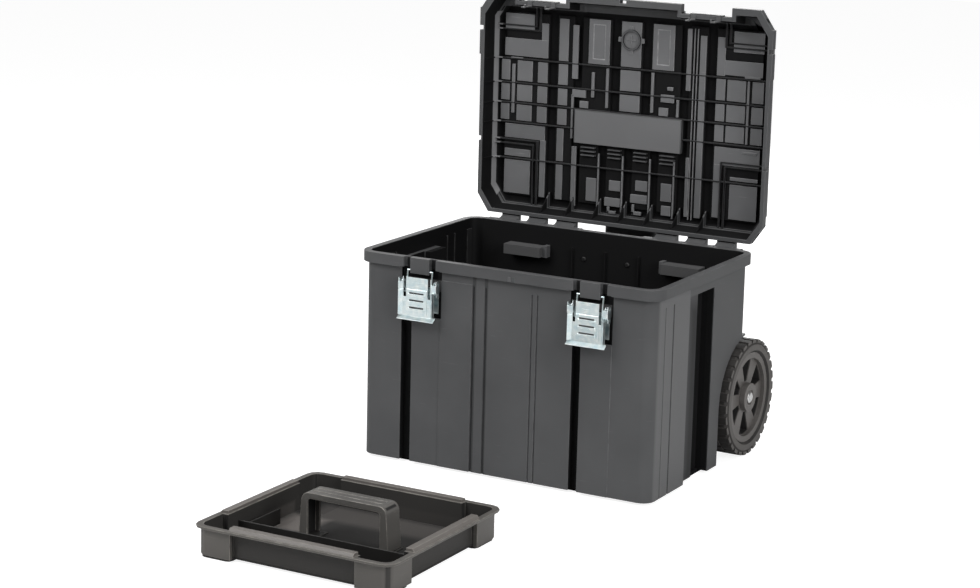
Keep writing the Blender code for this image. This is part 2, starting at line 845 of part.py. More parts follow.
def lid_grip(surface, parent):
    """The bar across the finger pocket, seated on two end feet."""
    middle = at_height((pocket_back + pocket_front) / 2)
    top = lid_high - 0.0008
    under = top - grip_bar_thickness
    end = pocket_half_x - gap
    foot = 0.014
    bm = bmesh.new()
    floor = lid_high - pocket_depth + gap
    arch = [(-end, floor), (-end + foot, floor), (-end + foot + 0.008, under), (end - foot - 0.008, under)]
    arch += [(end - foot, floor), (end, floor), (end, top - 0.003), (end - 0.003, top)]
    arch += [(-end + 0.003, top), (-end, top - 0.003)]
    add_prism(bm, arch, middle - grip_bar_half, middle + grip_bar_half, "Y")
    return add_object("lid_grip", bm, surface, parent)


# Draw latches
def latch(side, sign, steel, plastic, case_parent, lid_parent):
    middle = sign * latch_x
    pivot_y = latch_pivot_y
    pivot_z = latch_pivot_z
    seat_y = -wall_y + latch_pocket_depth - gap
    half = latch_width / 2
    ear_x = half - 0.0055

    plate_low = (middle - ear_x, seat_y - latch_sheet, latch_bottom + 0.006)
    plate_high = (middle + ear_x, seat_y, pivot_z - 0.0085)
    bracket = blocks("latch_bracket_" + side, [(plate_low, plate_high)], steel, case_parent)
    ear = circle((pivot_y, pivot_z), 0.0045, 10, math.radians(30), math.radians(240))
    ear += [(seat_y - 0.0005, pivot_z - 0.024), (seat_y - 0.0005, pivot_z - 0.0095)]
    bm = bmesh.new()
    for ear_side in (-1, 1):
        low, high = sorted((middle + ear_side * (ear_x - latch_sheet), middle + ear_side * ear_x))
        add_prism(bm, ear, low, high, "X")
    fuse(bracket, add_object("latch_ear_helper_" + side, bm))
    bore = circle((pivot_y, pivot_z), latch_pin_radius + bore_clearance, 10)
    cut(bracket, prism("latch_ear_bore_" + side, bore, middle - half, middle + half, "X"))

    for end, end_sign in (("a", -1), ("b", 1)):
        tip = half + 0.0006
        low, high = sorted((middle + end_sign * tip, middle + end_sign * (tip - rivet_length)))
        name = "latch_rivet_" + side + "_" + end
        ring = circle((pivot_y, pivot_z), latch_pin_radius, 10)
        smooth(prism(name, ring, low, high, "X", steel, case_parent))

    lever_pivot = pivot("latch_pivot_" + side, (middle, pivot_y, pivot_z), parent=case_parent)
    lever = latch_lever(side, half, ear_x, steel, lever_pivot)
    bail_pivot = pivot("bail_pivot_" + side, (0.0, -bail_setback, -bail_drop), parent=lever_pivot)
    latch_bail(side, half, steel, bail_pivot)
    lid_catch(side, middle, plastic, lid_parent)
    return lever


def latch_lever(side, half, ear_x, steel, parent):
    """Modelled about its own pivot: the front plate hangs down, with a flared lip at its foot."""
    back = -latch_front + latch_sheet
    low = latch_bottom - latch_pivot_z
    high = latch_top - latch_pivot_z
    waist = half - lever_waist
    face = [(-waist, low), (waist, low), (waist, -lever_shoulder - 0.005)]
    face += [(half, -lever_shoulder), (half, 0.0)]
    face += [(-half, 0.0), (-half, -lever_shoulder), (-waist, -lever_shoulder - 0.005)]
    lever = prism("latch_lever_" + side, face, -latch_front, back, "Y", steel, parent)
    neck = blocks("latch_neck_helper_" + side, [
        ((-ear_x + 0.0035, -latch_front, -0.001), (ear_x - 0.0035, back, high)),
    ], parent=parent)
    fuse(lever, neck)
    lip = [(-latch_front, low + 0.001), (-latch_front - 0.0065, low - 0.004)]
    lip += [(-latch_front - 0.0055, low - 0.0052), (back, low), (back, low + 0.002)]
    fuse(lever, prism("latch_lip_helper_" + side, lip, -half + 0.0015, half - 0.0015, "X", parent=parent))
    cheek = [(back - 0.0005, 0.0005 - lever_shoulder), (-0.0045, -0.0212), (0.0035, -0.0212)]
    cheek += [(0.0035, 0.003), (0.0, 0.0062), (back - 0.0005, 0.0062)]
    bm = bmesh.new()
    for cheek_side in (-1, 1):
        near, far = sorted((cheek_side * (half - latch_sheet), cheek_side * half))
        add_prism(bm, cheek, near, far, "X")
    fuse(lever, add_object("latch_cheek_helper_" + side, bm, parent=parent))
    inside = back - 0.0005
    panel_low = (-lever_panel_half, -latch_front - lever_panel_rise, low + 0.005)
    fuse(lever, blocks("latch_panel_helper_" + side, [
        (panel_low, (lever_panel_half, inside, -lever_shoulder)),
    ], parent=parent))
    ribs = []
    for at in lever_rib_rises:
        start = (-lever_rib_half, -latch_front - 0.0024, low + at)
        ribs.append((start, (lever_rib_half, inside, low + at + lever_rib_width)))
    fuse(lever, blocks("latch_rib_helper_" + side, ribs, parent=parent))
    notch_half = bail_wire + 0.0012
    notches = blocks("latch_notch_helper_" + side, [
        ((x - notch_half, -0.02, -bail_drop - 0.008), (x + notch_half, 0.001 + back, 0.02))
        for x in (-bail_leg_x, bail_leg_x)
    ], parent=parent)
    cut(lever, notches)
    bm = bmesh.new()
    bail_hole = circle((-bail_setback, -bail_drop), bail_wire + bore_clearance, 10)
    pin_hole = circle((0.0, 0.0), latch_pin_radius + bore_clearance, 10)
    for near, far in ((-half - 0.01, -half + 0.008), (half - 0.008, half + 0.01)):
        add_prism(bm, bail_hole, near, far, "X")
        add_prism(bm, pin_hole, near, far, "X")
    cut(lever, add_object("latch_hole_helper_" + side, bm, parent=parent))
    return lever


def latch_bail(side, half, steel, parent):
    """One bent wire: an axle through the lever's cheeks and two legs that end in inward hooks."""
    rise = bail_top - (latch_pivot_z - bail_drop)
    lean = bail_lean
    bm = bmesh.new()
    add_prism(bm, circle((0.0, 0.0), bail_wire, 8), -half - 0.0008, half + 0.0008, "X")
    bail = add_object("latch_bail_" + side, bm, steel, parent)
    tilt = Matrix.Rotation(-math.atan2(lean, rise), 4, "X")
    length = math.hypot(rise, lean)
    for name, leg_side in (("a", -1), ("b", 1)):
        bm = bmesh.new()
        add_prism(bm, circle((leg_side * bail_leg_x, 0.0), bail_wire, 8), 0.0, length)
        bmesh.ops.transform(bm, matrix=tilt, verts=bm.verts)
        fuse(bail, add_object("bail_leg_" + name + "_" + side, bm, parent=parent))
        low, high = sorted((leg_side * (bail_leg_x + bail_wire * 0.9), leg_side * (bail_leg_x - bail_hook)))
        ring = circle((lean, rise), bail_wire * 0.98, 8)
        hook = prism("bail_hook_" + name + "_" + side, ring, low, high, "X", parent=parent)
        fuse(bail, hook)
    return bail


def lid_catch(side, middle, plastic, parent):
    """A plate in the lid's front recess. Its two fingers' toes sit under the closed bail's hooks."""
    face = -hinge_y - half_depth
    finger_back = latch_pivot_y + 0.0081 - hinge_y
    finger_front = finger_back - 0.0020
    toe_top = bail_top - bail_wire - 0.0006 - hinge_z
    toe_front = finger_front - 0.0042
    plate_top = lid_low + lid_rim_height - 0.003
    plate_front = (middle - catch_half, face - gap - catch_plate, lid_low + 0.0012)
    plate_back = (middle + catch_half, face - gap, plate_top)
    catch = blocks("lid_catch_" + side, [(plate_front, plate_back)], plastic, parent)
    for name, finger_side in (("a", -1), ("b", 1)):
        low, high = sorted((middle + finger_side * catch_finger[0], middle + finger_side * catch_finger[1]))
        outline = [
            (finger_back, lid_low - 0.0003),
            (finger_back, toe_top - 0.0030),
            (finger_front, toe_top - 0.0030),
            (finger_front, lid_low - 0.0024),
            (face - gap - catch_plate, lid_low - 0.0024),
            (face - gap - catch_plate, lid_low + 0.0022),
            (face - gap, lid_low + 0.0022),
            (face - gap, lid_low - 0.0003),
        ]
        fuse(catch, prism("catch_finger_" + name + "_" + side, outline, low, high, "X", parent=parent))
        low, high = sorted((middle + finger_side * catch_toe[0], middle + finger_side * catch_toe[1]))
        toe = [
            (toe_front, toe_top - 0.0030),
            (toe_front, toe_top),
            (finger_back - 0.0004, toe_top),
            (finger_back - 0.0004, toe_top - 0.0030),
        ]
        fuse(catch, prism("catch_toe_" + name + "_" + side, toe, low, high, "X", parent=parent))
    return catch


# Wheels
def wheel(side, sign, rubber, plastic, bronze, parent):
    outer = sign * wheel_outer_x
    inner = sign * wheel_inner_x
    centre = (0.0, wheel_y, axle_z)
    spin = pivot("wheel_axis_" + side, centre, parent=parent)
    tread = wheel_radius - lug_height
    shoulder = 0.006
    near, far = sorted((inner, outer))
    profile = [
        (near + 0.004, hub_radius + gap),
        (far - 0.004, hub_radius + gap),
        (far, hub_radius + 0.004),
        (far, tread - shoulder),
        (far - shoulder, tread),
        (near + shoulder, tread),
        (near, tread - shoulder),
        (near, hub_radius + 0.004),
    ]
    tyre = turned("tyre_" + side, profile, (0, 0, 0), 2 * lug_count, rubber, spin)
    bm = bmesh.new()
    middle = (near + far) / 2
    step = 2 * math.pi / lug_count
    rows = ((near + 0.0015, middle - 0.001), (middle + 0.001, far - 0.0015))
    for row, (row_low, row_high) in enumerate(rows):
        for i in range(lug_count):
            angle = -math.pi / 2 + step * (i + 0.5 * row)
            add_lug(bm, angle, row_low, row_high, tread)
    fuse(tyre, add_object("lug_helper_" + side, bm, parent=spin))

    hub(side, sign, near, far, plastic, spin)
    start = sign * (wheel_inner_x + gap)
    stop = sign * (wheel_outer_x - cap_recess - gap)
    bush_profile = [
        (start, axle_radius + running_clearance),
        (stop, axle_radius + running_clearance),
        (stop, bush_radius),
        (start, bush_radius),
    ]
    turned("wheel_bush_" + side, bush_profile, (0, 0, 0), 16, bronze, spin)
    return spin


def add_lug(bm, angle, low, high, tread):
    half = lug_width / 2
    root = tread - 0.003
    corners = [(root, -half), (wheel_radius, -half * 0.85), (wheel_radius, 0.0)]
    corners += [(wheel_radius, half * 0.85), (root, half)]
    outline = []
    for radius, width in corners:
        turn = angle + width / radius
        outline.append((radius * math.cos(turn), radius * math.sin(turn)))
    add_prism(bm, outline, low, high, "X")


def hub(side, sign, near, far, plastic, parent):
    """Rim, boss and web in one moulding, with openings between the spokes."""
    web_face = wheel_outer_x - hub_face_recess
    web_low, web_high = sorted((sign * (web_face - web_thickness), sign * web_face))
    boss_low, boss_high = sorted((sign * (wheel_inner_x + gap), sign * (wheel_outer_x - cap_recess)))
    rim_inner = hub_radius - 0.010
    profile = [
        (near + 0.004, rim_inner),
        (web_low, rim_inner),
        (web_low, boss_radius),
        (boss_low, boss_radius - 0.003),
        (boss_low, bush_radius + gap),
        (boss_high, bush_radius + gap),
        (boss_high, boss_radius - 0.003),
        (web_high, boss_radius),
        (web_high, rim_inner),
        (far - 0.004, rim_inner),
        (far - 0.004, hub_radius),
        (near + 0.004, hub_radius),
    ]
    made = turned("wheel_hub_" + side, profile, (0, 0, 0), 36, plastic, parent)
    bm = bmesh.new()
    low_radius = boss_radius + 0.007
    high_radius = rim_inner - 0.0015
    for i in range(spoke_count):
        start = 2 * math.pi * i / spoke_count
        outline = []
        for radius, width, steps in ((low_radius, spoke_root, 2), (high_radius, spoke_width, 4)):
            half = math.asin(width / 2 / radius)
            begin = start + half
            finish = start + 2 * math.pi / spoke_count - half
            arc = circle((0.0, 0.0), radius, steps, begin, finish)
            outline += arc if radius == low_radius else arc[::-1]
        add_prism(bm, outline, near - 0.01, far + 0.01, "X")
    cut(made, add_object("spoke_gap_helper_" + side, bm, parent=parent))
    return made


def axle_parts(steel, plastic, parent):
    found = []
    end = wheel_outer_x + axle_overhang - 0.008
    axle = prism("axle_rod", circle((wheel_y, axle_z), axle_radius, 20), -end, end, "X", steel, parent)
    smooth(axle)
    for side, sign in (("left", -1), ("right", 1)):
        cap_low, cap_high = sorted((sign * (wheel_outer_x - cap_recess + 0.0008), sign * (end + 0.0030)))
        cap_end = cap_high if sign > 0 else cap_low
        cap_root = cap_low if sign > 0 else cap_high
        bore_end = sign * (end + gap)
        profile = [
            (cap_root, axle_radius + gap),
            (bore_end, axle_radius + gap),
            (bore_end, 0.0),
            (cap_end, 0.0),
            (cap_end, 0.006),
            (cap_end - sign * 0.002, 0.0095),
            (cap_root, 0.0105),
        ]
        turned("axle_cap_" + side, profile, (0.0, wheel_y, axle_z), 20, steel, parent)
        washer_low, washer_high = sorted((sign * (well_face + gap), sign * (wheel_inner_x - gap)))
        ring = [
            (washer_low, axle_radius + gap),
            (washer_high, axle_radius + gap),
            (washer_high, axle_washer_radius),
            (washer_low, axle_washer_radius),
        ]
        turned("axle_washer_" + side, ring, (0.0, wheel_y, axle_z), 16, plastic, parent)
        half_block = axle_block_width / 2
        low, high = sorted((sign * (axle_block_x - half_block), sign * (axle_block_x + half_block)))
        back = wheel_y + axle_radius + 0.007
        outline = [
            (wall_y + gap, axle_z - 0.020),
            (wheel_y, axle_z - 0.016),
            (back, axle_z - 0.009),
            (back, axle_z + 0.009),
            (wheel_y, axle_z + 0.016),
            (wall_y + gap, axle_z + 0.020),
        ]
        block = prism("axle_block_" + side, outline, low, high, "X", plastic, parent)
        bore = circle((wheel_y, axle_z), axle_radius + gap, 16)
        cut(block, prism("axle_bore_" + side, bore, low - 0.01, high + 0.01, "X"))
        for level, level_sign in (("upper", 1), ("lower", -1)):
            place = (sign * axle_block_x, axle_z + level_sign * block_screw_rise)
            found.append(("block_screw_" + side + "_" + level, place, block))
    return found


# Pull handle, which stands clear behind the open lid
handle_y = hinge_y + lid_high + handle_clearance + grip_half_depth
middle_tube_radius = outer_tube_radius - tube_wall - tube_clearance
inner_tube_radius = middle_tube_radius - tube_wall - tube_clearance
grip_top = grip_bottom + grip_height
socket_depth = 0.0043
yoke_thickness = 0.003
yoke_low = grip_bottom + socket_depth + button_travel + 0.0005
yoke_top = yoke_low + yoke_thickness
well_floor = yoke_top + 0.0004
button_low = grip_top - 0.0055


def tube(name, x, radius, low, high, surface, parent):
    made = prism(name, circle((x, handle_y), radius, 18), low, high, surface=surface, parent=parent)
    ring = circle((x, handle_y), radius - tube_wall, 18)
    bore = prism(name + "_bore", ring, low - 0.01, high + 0.01, parent=parent)
    cut(made, bore)
    smooth(made)
    return made


def handle_bracket(name, low, high, floor, surface, parent):
    """A yoke on the back wall that stands the tubes clear of the open lid."""
    front = wall_y + gap
    back = handle_y + outer_tube_radius + 0.004
    outline = [
        (-bracket_half_width, front),
        (bracket_half_width, front),
        (bracket_half_width, front + 0.006),
        (bracket_half_width - 0.004, handle_y),
        (bracket_half_width - 0.012, back),
        (-bracket_half_width + 0.012, back),
        (-bracket_half_width + 0.004, handle_y),
        (-bracket_half_width, front + 0.006),
    ]
    made = prism(name, outline, low, high, surface=surface, parent=parent)
    wide = bracket_half_width - 0.014
    narrow = handle_tube_x - 0.003
    near = front + 0.008
    far = handle_y - 2 * outer_tube_radius
    window = [(-wide, near), (wide, near), (narrow, far), (-narrow, far)]
    cut(made, prism(name + "_window", window, low - 0.01, high + 0.01, parent=parent))
    bm = bmesh.new()
    for x in (-handle_tube_x, handle_tube_x):
        add_prism(bm, circle((x, handle_y), outer_tube_radius + gap, 18), low + floor, high + 0.01)
    cut(made, add_object(name + "_bores", bm, parent=parent))
    return made


def pull_handle(aluminium, plastic, steel, accent, parent):
    foot_top = lower_bracket_z + bracket_height
    collar_top = upper_bracket_z + bracket_height - 0.004
    socket_floor = tube_bottom - lower_bracket_z - gap
    lower = handle_bracket("handle_foot", lower_bracket_z, foot_top, socket_floor, plastic, parent)
    upper = handle_bracket("handle_collar", upper_bracket_z, collar_top, -0.01, plastic, parent)
    for side, sign in (("left", -1), ("right", 1)):
        x = sign * handle_tube_x
        tube("outer_tube_" + side, x, outer_tube_radius, tube_bottom, outer_tube_top, aluminium, parent)
        middle_top = outer_tube_top + 0.003
        inner_top = grip_bottom + socket_depth - gap
        middle_bottom = tube_bottom + 0.006
        tube("middle_tube_" + side, x, middle_tube_radius, middle_bottom, middle_top, aluminium, parent)
        tube("inner_tube_" + side, x, inner_tube_radius, tube_bottom + 0.012, inner_top, aluminium, parent)
    grip(plastic, parent)
    release_parts(accent, steel, parent)
    found = []
    for side, sign in (("left", -1), ("right", 1)):
        foot_middle = lower_bracket_z + bracket_height / 2
        collar_middle = upper_bracket_z + bracket_height / 2 - 0.002
        found.append(("foot_screw_" + side, (sign * screw_x, foot_middle), lower))
        found.append(("collar_screw_" + side, (sign * screw_x, collar_middle), upper))
    return found


def grip(plastic, parent):
    outline = rounded_rectangle(grip_half_width, grip_half_depth, 0.009, (0.0, handle_y), 4)
    made = prism("pull_grip", outline, grip_bottom, grip_top, surface=plastic, parent=parent)
    soften = made.modifiers.new("soft_edges", "BEVEL")
    soften.width = 0.003
    soften.segments = 2
    soften.limit_method = "ANGLE"
    soften.angle_limit = math.radians(60)
    bm = bmesh.new()
    for x in (-handle_tube_x, handle_tube_x):
        socket = circle((x, handle_y), inner_tube_radius + gap, 18)
        add_prism(bm, socket, grip_bottom - 0.01, grip_bottom + socket_depth)
    cut(made, add_object("grip_sockets", bm, parent=parent))
    reach = handle_tube_x + 0.004
    low = (-reach, handle_y - 0.0033, grip_bottom + socket_depth - 0.0002)
    high = (reach, handle_y + 0.0033, well_floor + 0.0002)
    cut(made, blocks("yoke_hollow", [(low, high)], parent=parent))
    side_x = button_half_width + tube_clearance
    side_y = button_half_depth + tube_clearance
    well = [((-side_x, handle_y - side_y, well_floor), (side_x, handle_y + side_y, grip_top + 0.01))]
    cut(made, blocks("button_well", well, parent=parent))
    return made


def release_parts(accent, steel, parent):
    button = blocks("release_button", [(
        (-button_half_width, handle_y - button_half_depth, button_low),
        (button_half_width, handle_y + button_half_depth, grip_top + button_travel - 0.0003),
    )], accent, parent)
    rods = []
    rod_low = tube_bottom + release_rod_rise
    for x in (-handle_tube_x, handle_tube_x):
        rod = ((x - 0.0015, handle_y - 0.0015, rod_low), (x + 0.0015, handle_y + 0.0015, yoke_low + 0.001))
        rods.append(rod)
    end = handle_tube_x + 0.0025
    yoke = blocks("release_yoke", [
        ((-end, handle_y - 0.0025, yoke_low), (end, handle_y + 0.0025, yoke_top)),
    ], steel, parent)
    fuse(yoke, blocks("release_rod_helper", rods, parent=parent))
    post = blocks("button_post_helper", [
        ((-0.0018, handle_y - 0.0018, yoke_top + gap), (0.0018, handle_y + 0.0018, button_low + 0.001)),
    ], parent=parent)
    fuse(button, post)
    button_spring(steel, parent)


def button_spring(steel, parent):
    """A coil round the button's post, from the well's floor up to the button."""
    low = well_floor + spring_wire + gap
    high = button_low - spring_wire - gap
    turn_points = 9
    count = spring_turns * turn_points + 1
    curve = bpy.data.curves.new("button_spring", "CURVE")
    curve.dimensions = "3D"
    curve.bevel_depth = spring_wire
    curve.bevel_resolution = 1
    curve.use_fill_caps = True
    line = curve.splines.new("POLY")
    line.points.add(count - 1)
    for i in range(count):
        angle = 2 * math.pi * i / turn_points + math.pi / 2
        height = low + (high - low) * i / (count - 1)
        place = (spring_radius * math.cos(angle), handle_y + spring_radius * math.sin(angle), height, 1.0)
        line.points[i].co = place
    curve.materials.append(steel)
    made = bpy.data.objects.new("button_spring", curve)
    made.parent = parent
    bpy.context.scene.collection.objects.link(made)
    least = (high - low) / spring_turns - 2 * spring_wire
    print("button spring: least gap between turns", round(least * 1000, 2), "mm")


# Tray
def tray_body(surface, parent):
    """Corner posts stand on the floor. The walls between them are set back under raised, sloping rails."""
    half_x = tray_width / 2
    half_y = tray_depth / 2
    body_x = half_x - tray_rim
    body_y = half_y - tray_rim
    rim_top = tray_height - tray_rail_rise
    long_recess = [(-half_x + tray_post_x, half_x - tray_post_x, tray_recess)]
    short_recess = [(-half_y + tray_post_y, half_y - tray_post_y, tray_recess)]
    body = tray_outline(body_x, body_y, long_recess, short_recess)
    tray = prism("tray_tub", body, tray_foot, rim_top - 0.001, surface=surface, parent=parent)
    posts = []
    for sign_x in (-1, 1):
        for sign_y in (-1, 1):
            low_x, high_x = sorted((sign_x * (half_x - tray_post_x + 0.002), sign_x * (body_x - 0.003)))
            low_y, high_y = sorted((sign_y * (half_y - tray_post_y + 0.002), sign_y * (body_y - 0.003)))
            corner = ((low_x + high_x) / 2, (low_y + high_y) / 2)
            outline = rounded_rectangle((high_x - low_x) / 2, (high_y - low_y) / 2, 0.008, corner, 2)
            posts.append(outline)
    bm = bmesh.new()
    for outline in posts:
        add_prism(bm, outline, 0.0, tray_foot + 0.001)
    fuse(tray, add_object("tray_foot_helper", bm, parent=parent))
    rim = rounded_rectangle(half_x, half_y, tray_corner, steps=3)
    fuse(tray, prism("tray_rim_helper", rim, rim_top - tray_rim_thickness, rim_top, parent=parent))
    add_tray_rails(tray, half_x, half_y, rim_top, parent)
    floor_top = tray_foot + tray_wall
    inner = tray_outline(body_x - tray_wall, body_y - tray_wall, grown(long_recess), grown(short_recess))
    cut(tray, prism("tray_cavity", inner, floor_top, tray_height + 0.01, parent=parent))
    feet = []
    for sign in (-1, 1):
        x = sign * (tray_handle_width / 2 - tray_leg / 2)
        low = (x - tray_leg / 2 - 0.002, -tray_handle_depth / 2 - 0.002, floor_top - 0.001)
        feet.append((low, (x + tray_leg / 2 + 0.002, tray_handle_depth / 2 + 0.002, floor_top + tray_seat)))
    fuse(tray, blocks("tray_seat_helper", feet, parent=parent))
    return tray


def add_tray_rails(tray, half_x, half_y, rim_top, parent):
    low = rim_top - tray_rim_thickness
    inner = tray_rail_width + 0.001
    for name, half, span in (
        ("front", half_y, half_x - tray_post_x),
        ("back", half_y, half_x - tray_post_x),
        ("left", half_x, half_y - tray_post_y),
        ("right", half_x, half_y - tray_post_y),
    ):
        sign = -1 if name in ("front", "left") else 1
        profile = [
            (sign * half, low),
            (sign * half, low + 0.002),
            (sign * (half - 0.003), rim_top),
            (sign * (half - 0.007), tray_height),
            (sign * (half - inner), tray_height),
            (sign * (half - inner), low),
        ]
        axis = "X" if name in ("front", "back") else "Y"
        fuse(tray, prism("tray_rail_" + name, profile, -span, span, axis, parent=parent))


def grown(steps):
    return [(low - tray_wall, high + tray_wall, depth) for low, high, depth in steps]


def tray_outline(half_x, half_y, long_steps, short_steps):
    radius = tray_corner - 0.006
    points = [(at, -half_y + depth) for at, depth in stepped(long_steps)]
    points += circle((half_x - radius, -half_y + radius), radius, 3, -math.pi / 2, 0.0)
    points += [(half_x - depth, at) for at, depth in stepped(short_steps)]
    points += circle((half_x - radius, half_y - radius), radius, 3, 0.0, math.pi / 2)
    points += [(-at, half_y - depth) for at, depth in stepped(mirrored(long_steps))]
    points += circle((-half_x + radius, half_y - radius), radius, 3, math.pi / 2, math.pi)
    points += [(-half_x + depth, -at) for at, depth in stepped(mirrored(short_steps))]
    points += circle((-half_x + radius, -half_y + radius), radius, 3, math.pi, 1.5 * math.pi)
    return points


def tray_handle(surface, parent):
    """An arch along the tray whose flared legs stand on two raised seats."""
    half = tray_handle_width / 2
    low = tray_foot + tray_wall + tray_seat + gap
    top = tray_handle_top
    bar = tray_handle_bar
    outer = [(-half, low), (-half + 0.006, top - 0.022), (-half + 0.022, top)]
    outer += [(half - 0.022, top), (half - 0.006, top - 0.022), (half, low)]
    inner = [
        (half - tray_leg, low),
        (half - tray_leg, top - bar - 0.010),
        (half - tray_leg - 0.008, top - bar),
        (-half + tray_leg + 0.008, top - bar),
        (-half + tray_leg, top - bar - 0.010),
        (-half + tray_leg, low),
    ]
    depth = tray_handle_depth / 2
    made = prism("tray_handle", outer + inner, -depth, depth, "Y", surface, parent)
    soften = made.modifiers.new("soft_edges", "BEVEL")
    soften.width = 0.004
    soften.segments = 2
    soften.limit_method = "ANGLE"
    soften.angle_limit = math.radians(50)
    return made


def tray_divider(surface, parent):
    """One long rail and two cross rails that drop into the tray beside its handle."""
    long_half = tray_width / 2 - tray_rim - tray_wall - tray_recess - gap
    y = tray_rail_y
    low = tray_foot + tray_wall + gap
    thick = tray_rail_thickness
    rail = blocks("tray_divider", [
        ((-long_half, y - thick / 2, low), (long_half, y + thick / 2, low + tray_rail_height)),
    ], surface, parent)
    cross = []
    back = tray_cross_end
    for x in (-long_half + 0.012, long_half - 0.012):
        cross.append(((x - thick / 2, y, low), (x + thick / 2, back, low + tray_rail_height - 0.004)))
    fuse(rail, blocks("tray_cross_rail_helper", cross, parent=parent))
    return rail


# Fasteners: one turned screw or rivet, driven along Y into the back or front wall
def fastener(name, place, direction, surface, parent, length):
    profile = [
        (screw_head_height, 0.0),
        (screw_head_height, screw_head_radius * 0.7),
        (screw_head_height * 0.5, screw_head_radius),
        (0.0, screw_head_radius),
        (0.0, screw_radius),
        (-length, screw_radius),
        (-length, 0.0),
    ]
    made = turned(name, profile, (0, 0, 0), 12, surface, parent)
    made.rotation_euler = (0.0, 0.0, direction * math.pi / 2)
    made.location = place
    return made


def wall_screws(tub, holders, steel, parent):
    """Screws driven from inside the case through its back wall into the blocks and brackets behind."""
    inner_y = wall_y - wall
    bores = bmesh.new()
    for name, place, holder in holders:
        fastener(name, (place[0], inner_y - gap, place[1]), -1, steel, parent, screw_length)
        add_prism(bores, circle(place, screw_radius + gap, 12), inner_y - 0.01, wall_y + 0.01, "Y")
        hole = circle(place, screw_radius + gap, 12)
        end = inner_y + screw_length + gap
        cut(holder, prism(name + "_hole", hole, wall_y - 0.005, end, "Y"))
    cut(tub, add_object("screw_bores", bores))


def main():
    clear_scene()
    plastic = material("charcoal_plastic", (0.091, 0.091, 0.095), 0.55)
    dark_plastic = material("dark_plastic", (0.030, 0.030, 0.032), 0.6)
    tray_plastic = material("warm_grey_plastic", (0.074, 0.071, 0.068), 0.55)
    rubber = material("tyre_rubber", (0.045, 0.042, 0.040), 0.8)
    hub_plastic = material("hub_plastic", (0.082, 0.080, 0.077), 0.5)
    zinc = material("zinc_plated_steel", (0.62, 0.66, 0.66), 0.3, 1.0)
    steel = material("axle_steel", (0.55, 0.55, 0.56), 0.3, 1.0)
    aluminium = material("anodised_aluminium", (0.45, 0.45, 0.46), 0.35, 1.0)
    bronze = material("bush_nylon", (0.55, 0.53, 0.48), 0.5)
    accent = material("plate_plastic", (0.42, 0.42, 0.10), 0.45)

    case = pivot("case_frame", (0.0, 0.0, 0.0))
    tub = case_tub(plastic, case)
    hinge_pins(steel, case)
    lid = pivot("lid_hinge_axis", (0.0, hinge_y, hinge_z), (-math.pi / 2, 0.0, 0.0), case)
    lid_shell(plastic, lid)
    lid_grip(dark_plastic, lid)
    plate_start = latch_x - lid_latch_notch - lid_plate_gap
    plate_low = (-plate_start, lid_front - gap - lid_plate_thickness, lid_low + 0.002)
    plate_high = (-lid_plate_end, lid_front - gap, lid_low + lid_rim_height - 0.002)
    blocks("lid_plate", [(plate_low, plate_high)], accent, lid)
    for side, sign in (("left", -1), ("right", 1)):
        latch(side, sign, zinc, zinc, case, lid)
        wheel(side, sign, rubber, hub_plastic, bronze, case)
    holders = axle_parts(steel, dark_plastic, case)
    holders += pull_handle(aluminium, dark_plastic, steel, accent, case)
    wall_screws(tub, holders, steel, case)
    tray = pivot("tray_place", (tray_x, tray_y, 0.0))
    tray_body(tray_plastic, tray)
    tray_handle(tray_plastic, tray)
    tray_divider(tray_plastic, tray)


main()
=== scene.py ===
import json
import math

import bpy
from mathutils import Matrix, Vector

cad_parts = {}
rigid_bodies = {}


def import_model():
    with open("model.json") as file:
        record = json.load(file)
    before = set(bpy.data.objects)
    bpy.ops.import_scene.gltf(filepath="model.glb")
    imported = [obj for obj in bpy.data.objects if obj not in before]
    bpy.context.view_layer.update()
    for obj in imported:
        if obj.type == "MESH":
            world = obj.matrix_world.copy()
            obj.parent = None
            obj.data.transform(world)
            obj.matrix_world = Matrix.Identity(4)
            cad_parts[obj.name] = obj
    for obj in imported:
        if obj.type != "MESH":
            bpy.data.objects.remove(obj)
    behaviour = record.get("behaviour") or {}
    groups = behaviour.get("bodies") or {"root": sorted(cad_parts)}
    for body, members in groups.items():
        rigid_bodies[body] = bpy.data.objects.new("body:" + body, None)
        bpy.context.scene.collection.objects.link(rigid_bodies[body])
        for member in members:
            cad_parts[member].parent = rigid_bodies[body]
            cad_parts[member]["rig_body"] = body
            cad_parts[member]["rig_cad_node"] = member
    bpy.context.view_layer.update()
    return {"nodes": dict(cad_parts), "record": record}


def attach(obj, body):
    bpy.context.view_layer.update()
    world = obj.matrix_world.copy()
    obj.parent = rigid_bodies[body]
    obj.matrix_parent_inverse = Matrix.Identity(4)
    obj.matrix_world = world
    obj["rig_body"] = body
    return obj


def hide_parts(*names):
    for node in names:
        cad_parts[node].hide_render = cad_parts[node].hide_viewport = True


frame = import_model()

nodes = frame["nodes"]
print("frame loaded:", len(nodes), "nodes")


# Camera and light
cameraPlace = {
    "location": (1.8481, -3.5849, 1.1824),
    "yaw": 29.35,
    "pitch": -12.07,
    "roll": 1.31,
    "lens": 90.65,
    "sensor": 36.0,
    "shift": (0.0200, -0.0267),
}


def placeCamera(place):
    data = bpy.data.cameras.new("camera")
    data.sensor_width = place["sensor"]
    data.lens = place["lens"]
    data.shift_x, data.shift_y = place["shift"]
    camera = bpy.data.objects.new("camera", data)
    bpy.context.scene.collection.objects.link(camera)
    turn = Matrix.Rotation(math.radians(place["yaw"]), 4, "Z")
    turn = turn @ Matrix.Rotation(math.radians(90 + place["pitch"]), 4, "X")
    turn = turn @ Matrix.Rotation(math.radians(place["roll"]), 4, "Z")
    camera.matrix_world = Matrix.Translation(place["location"]) @ turn
    bpy.context.scene.camera = camera


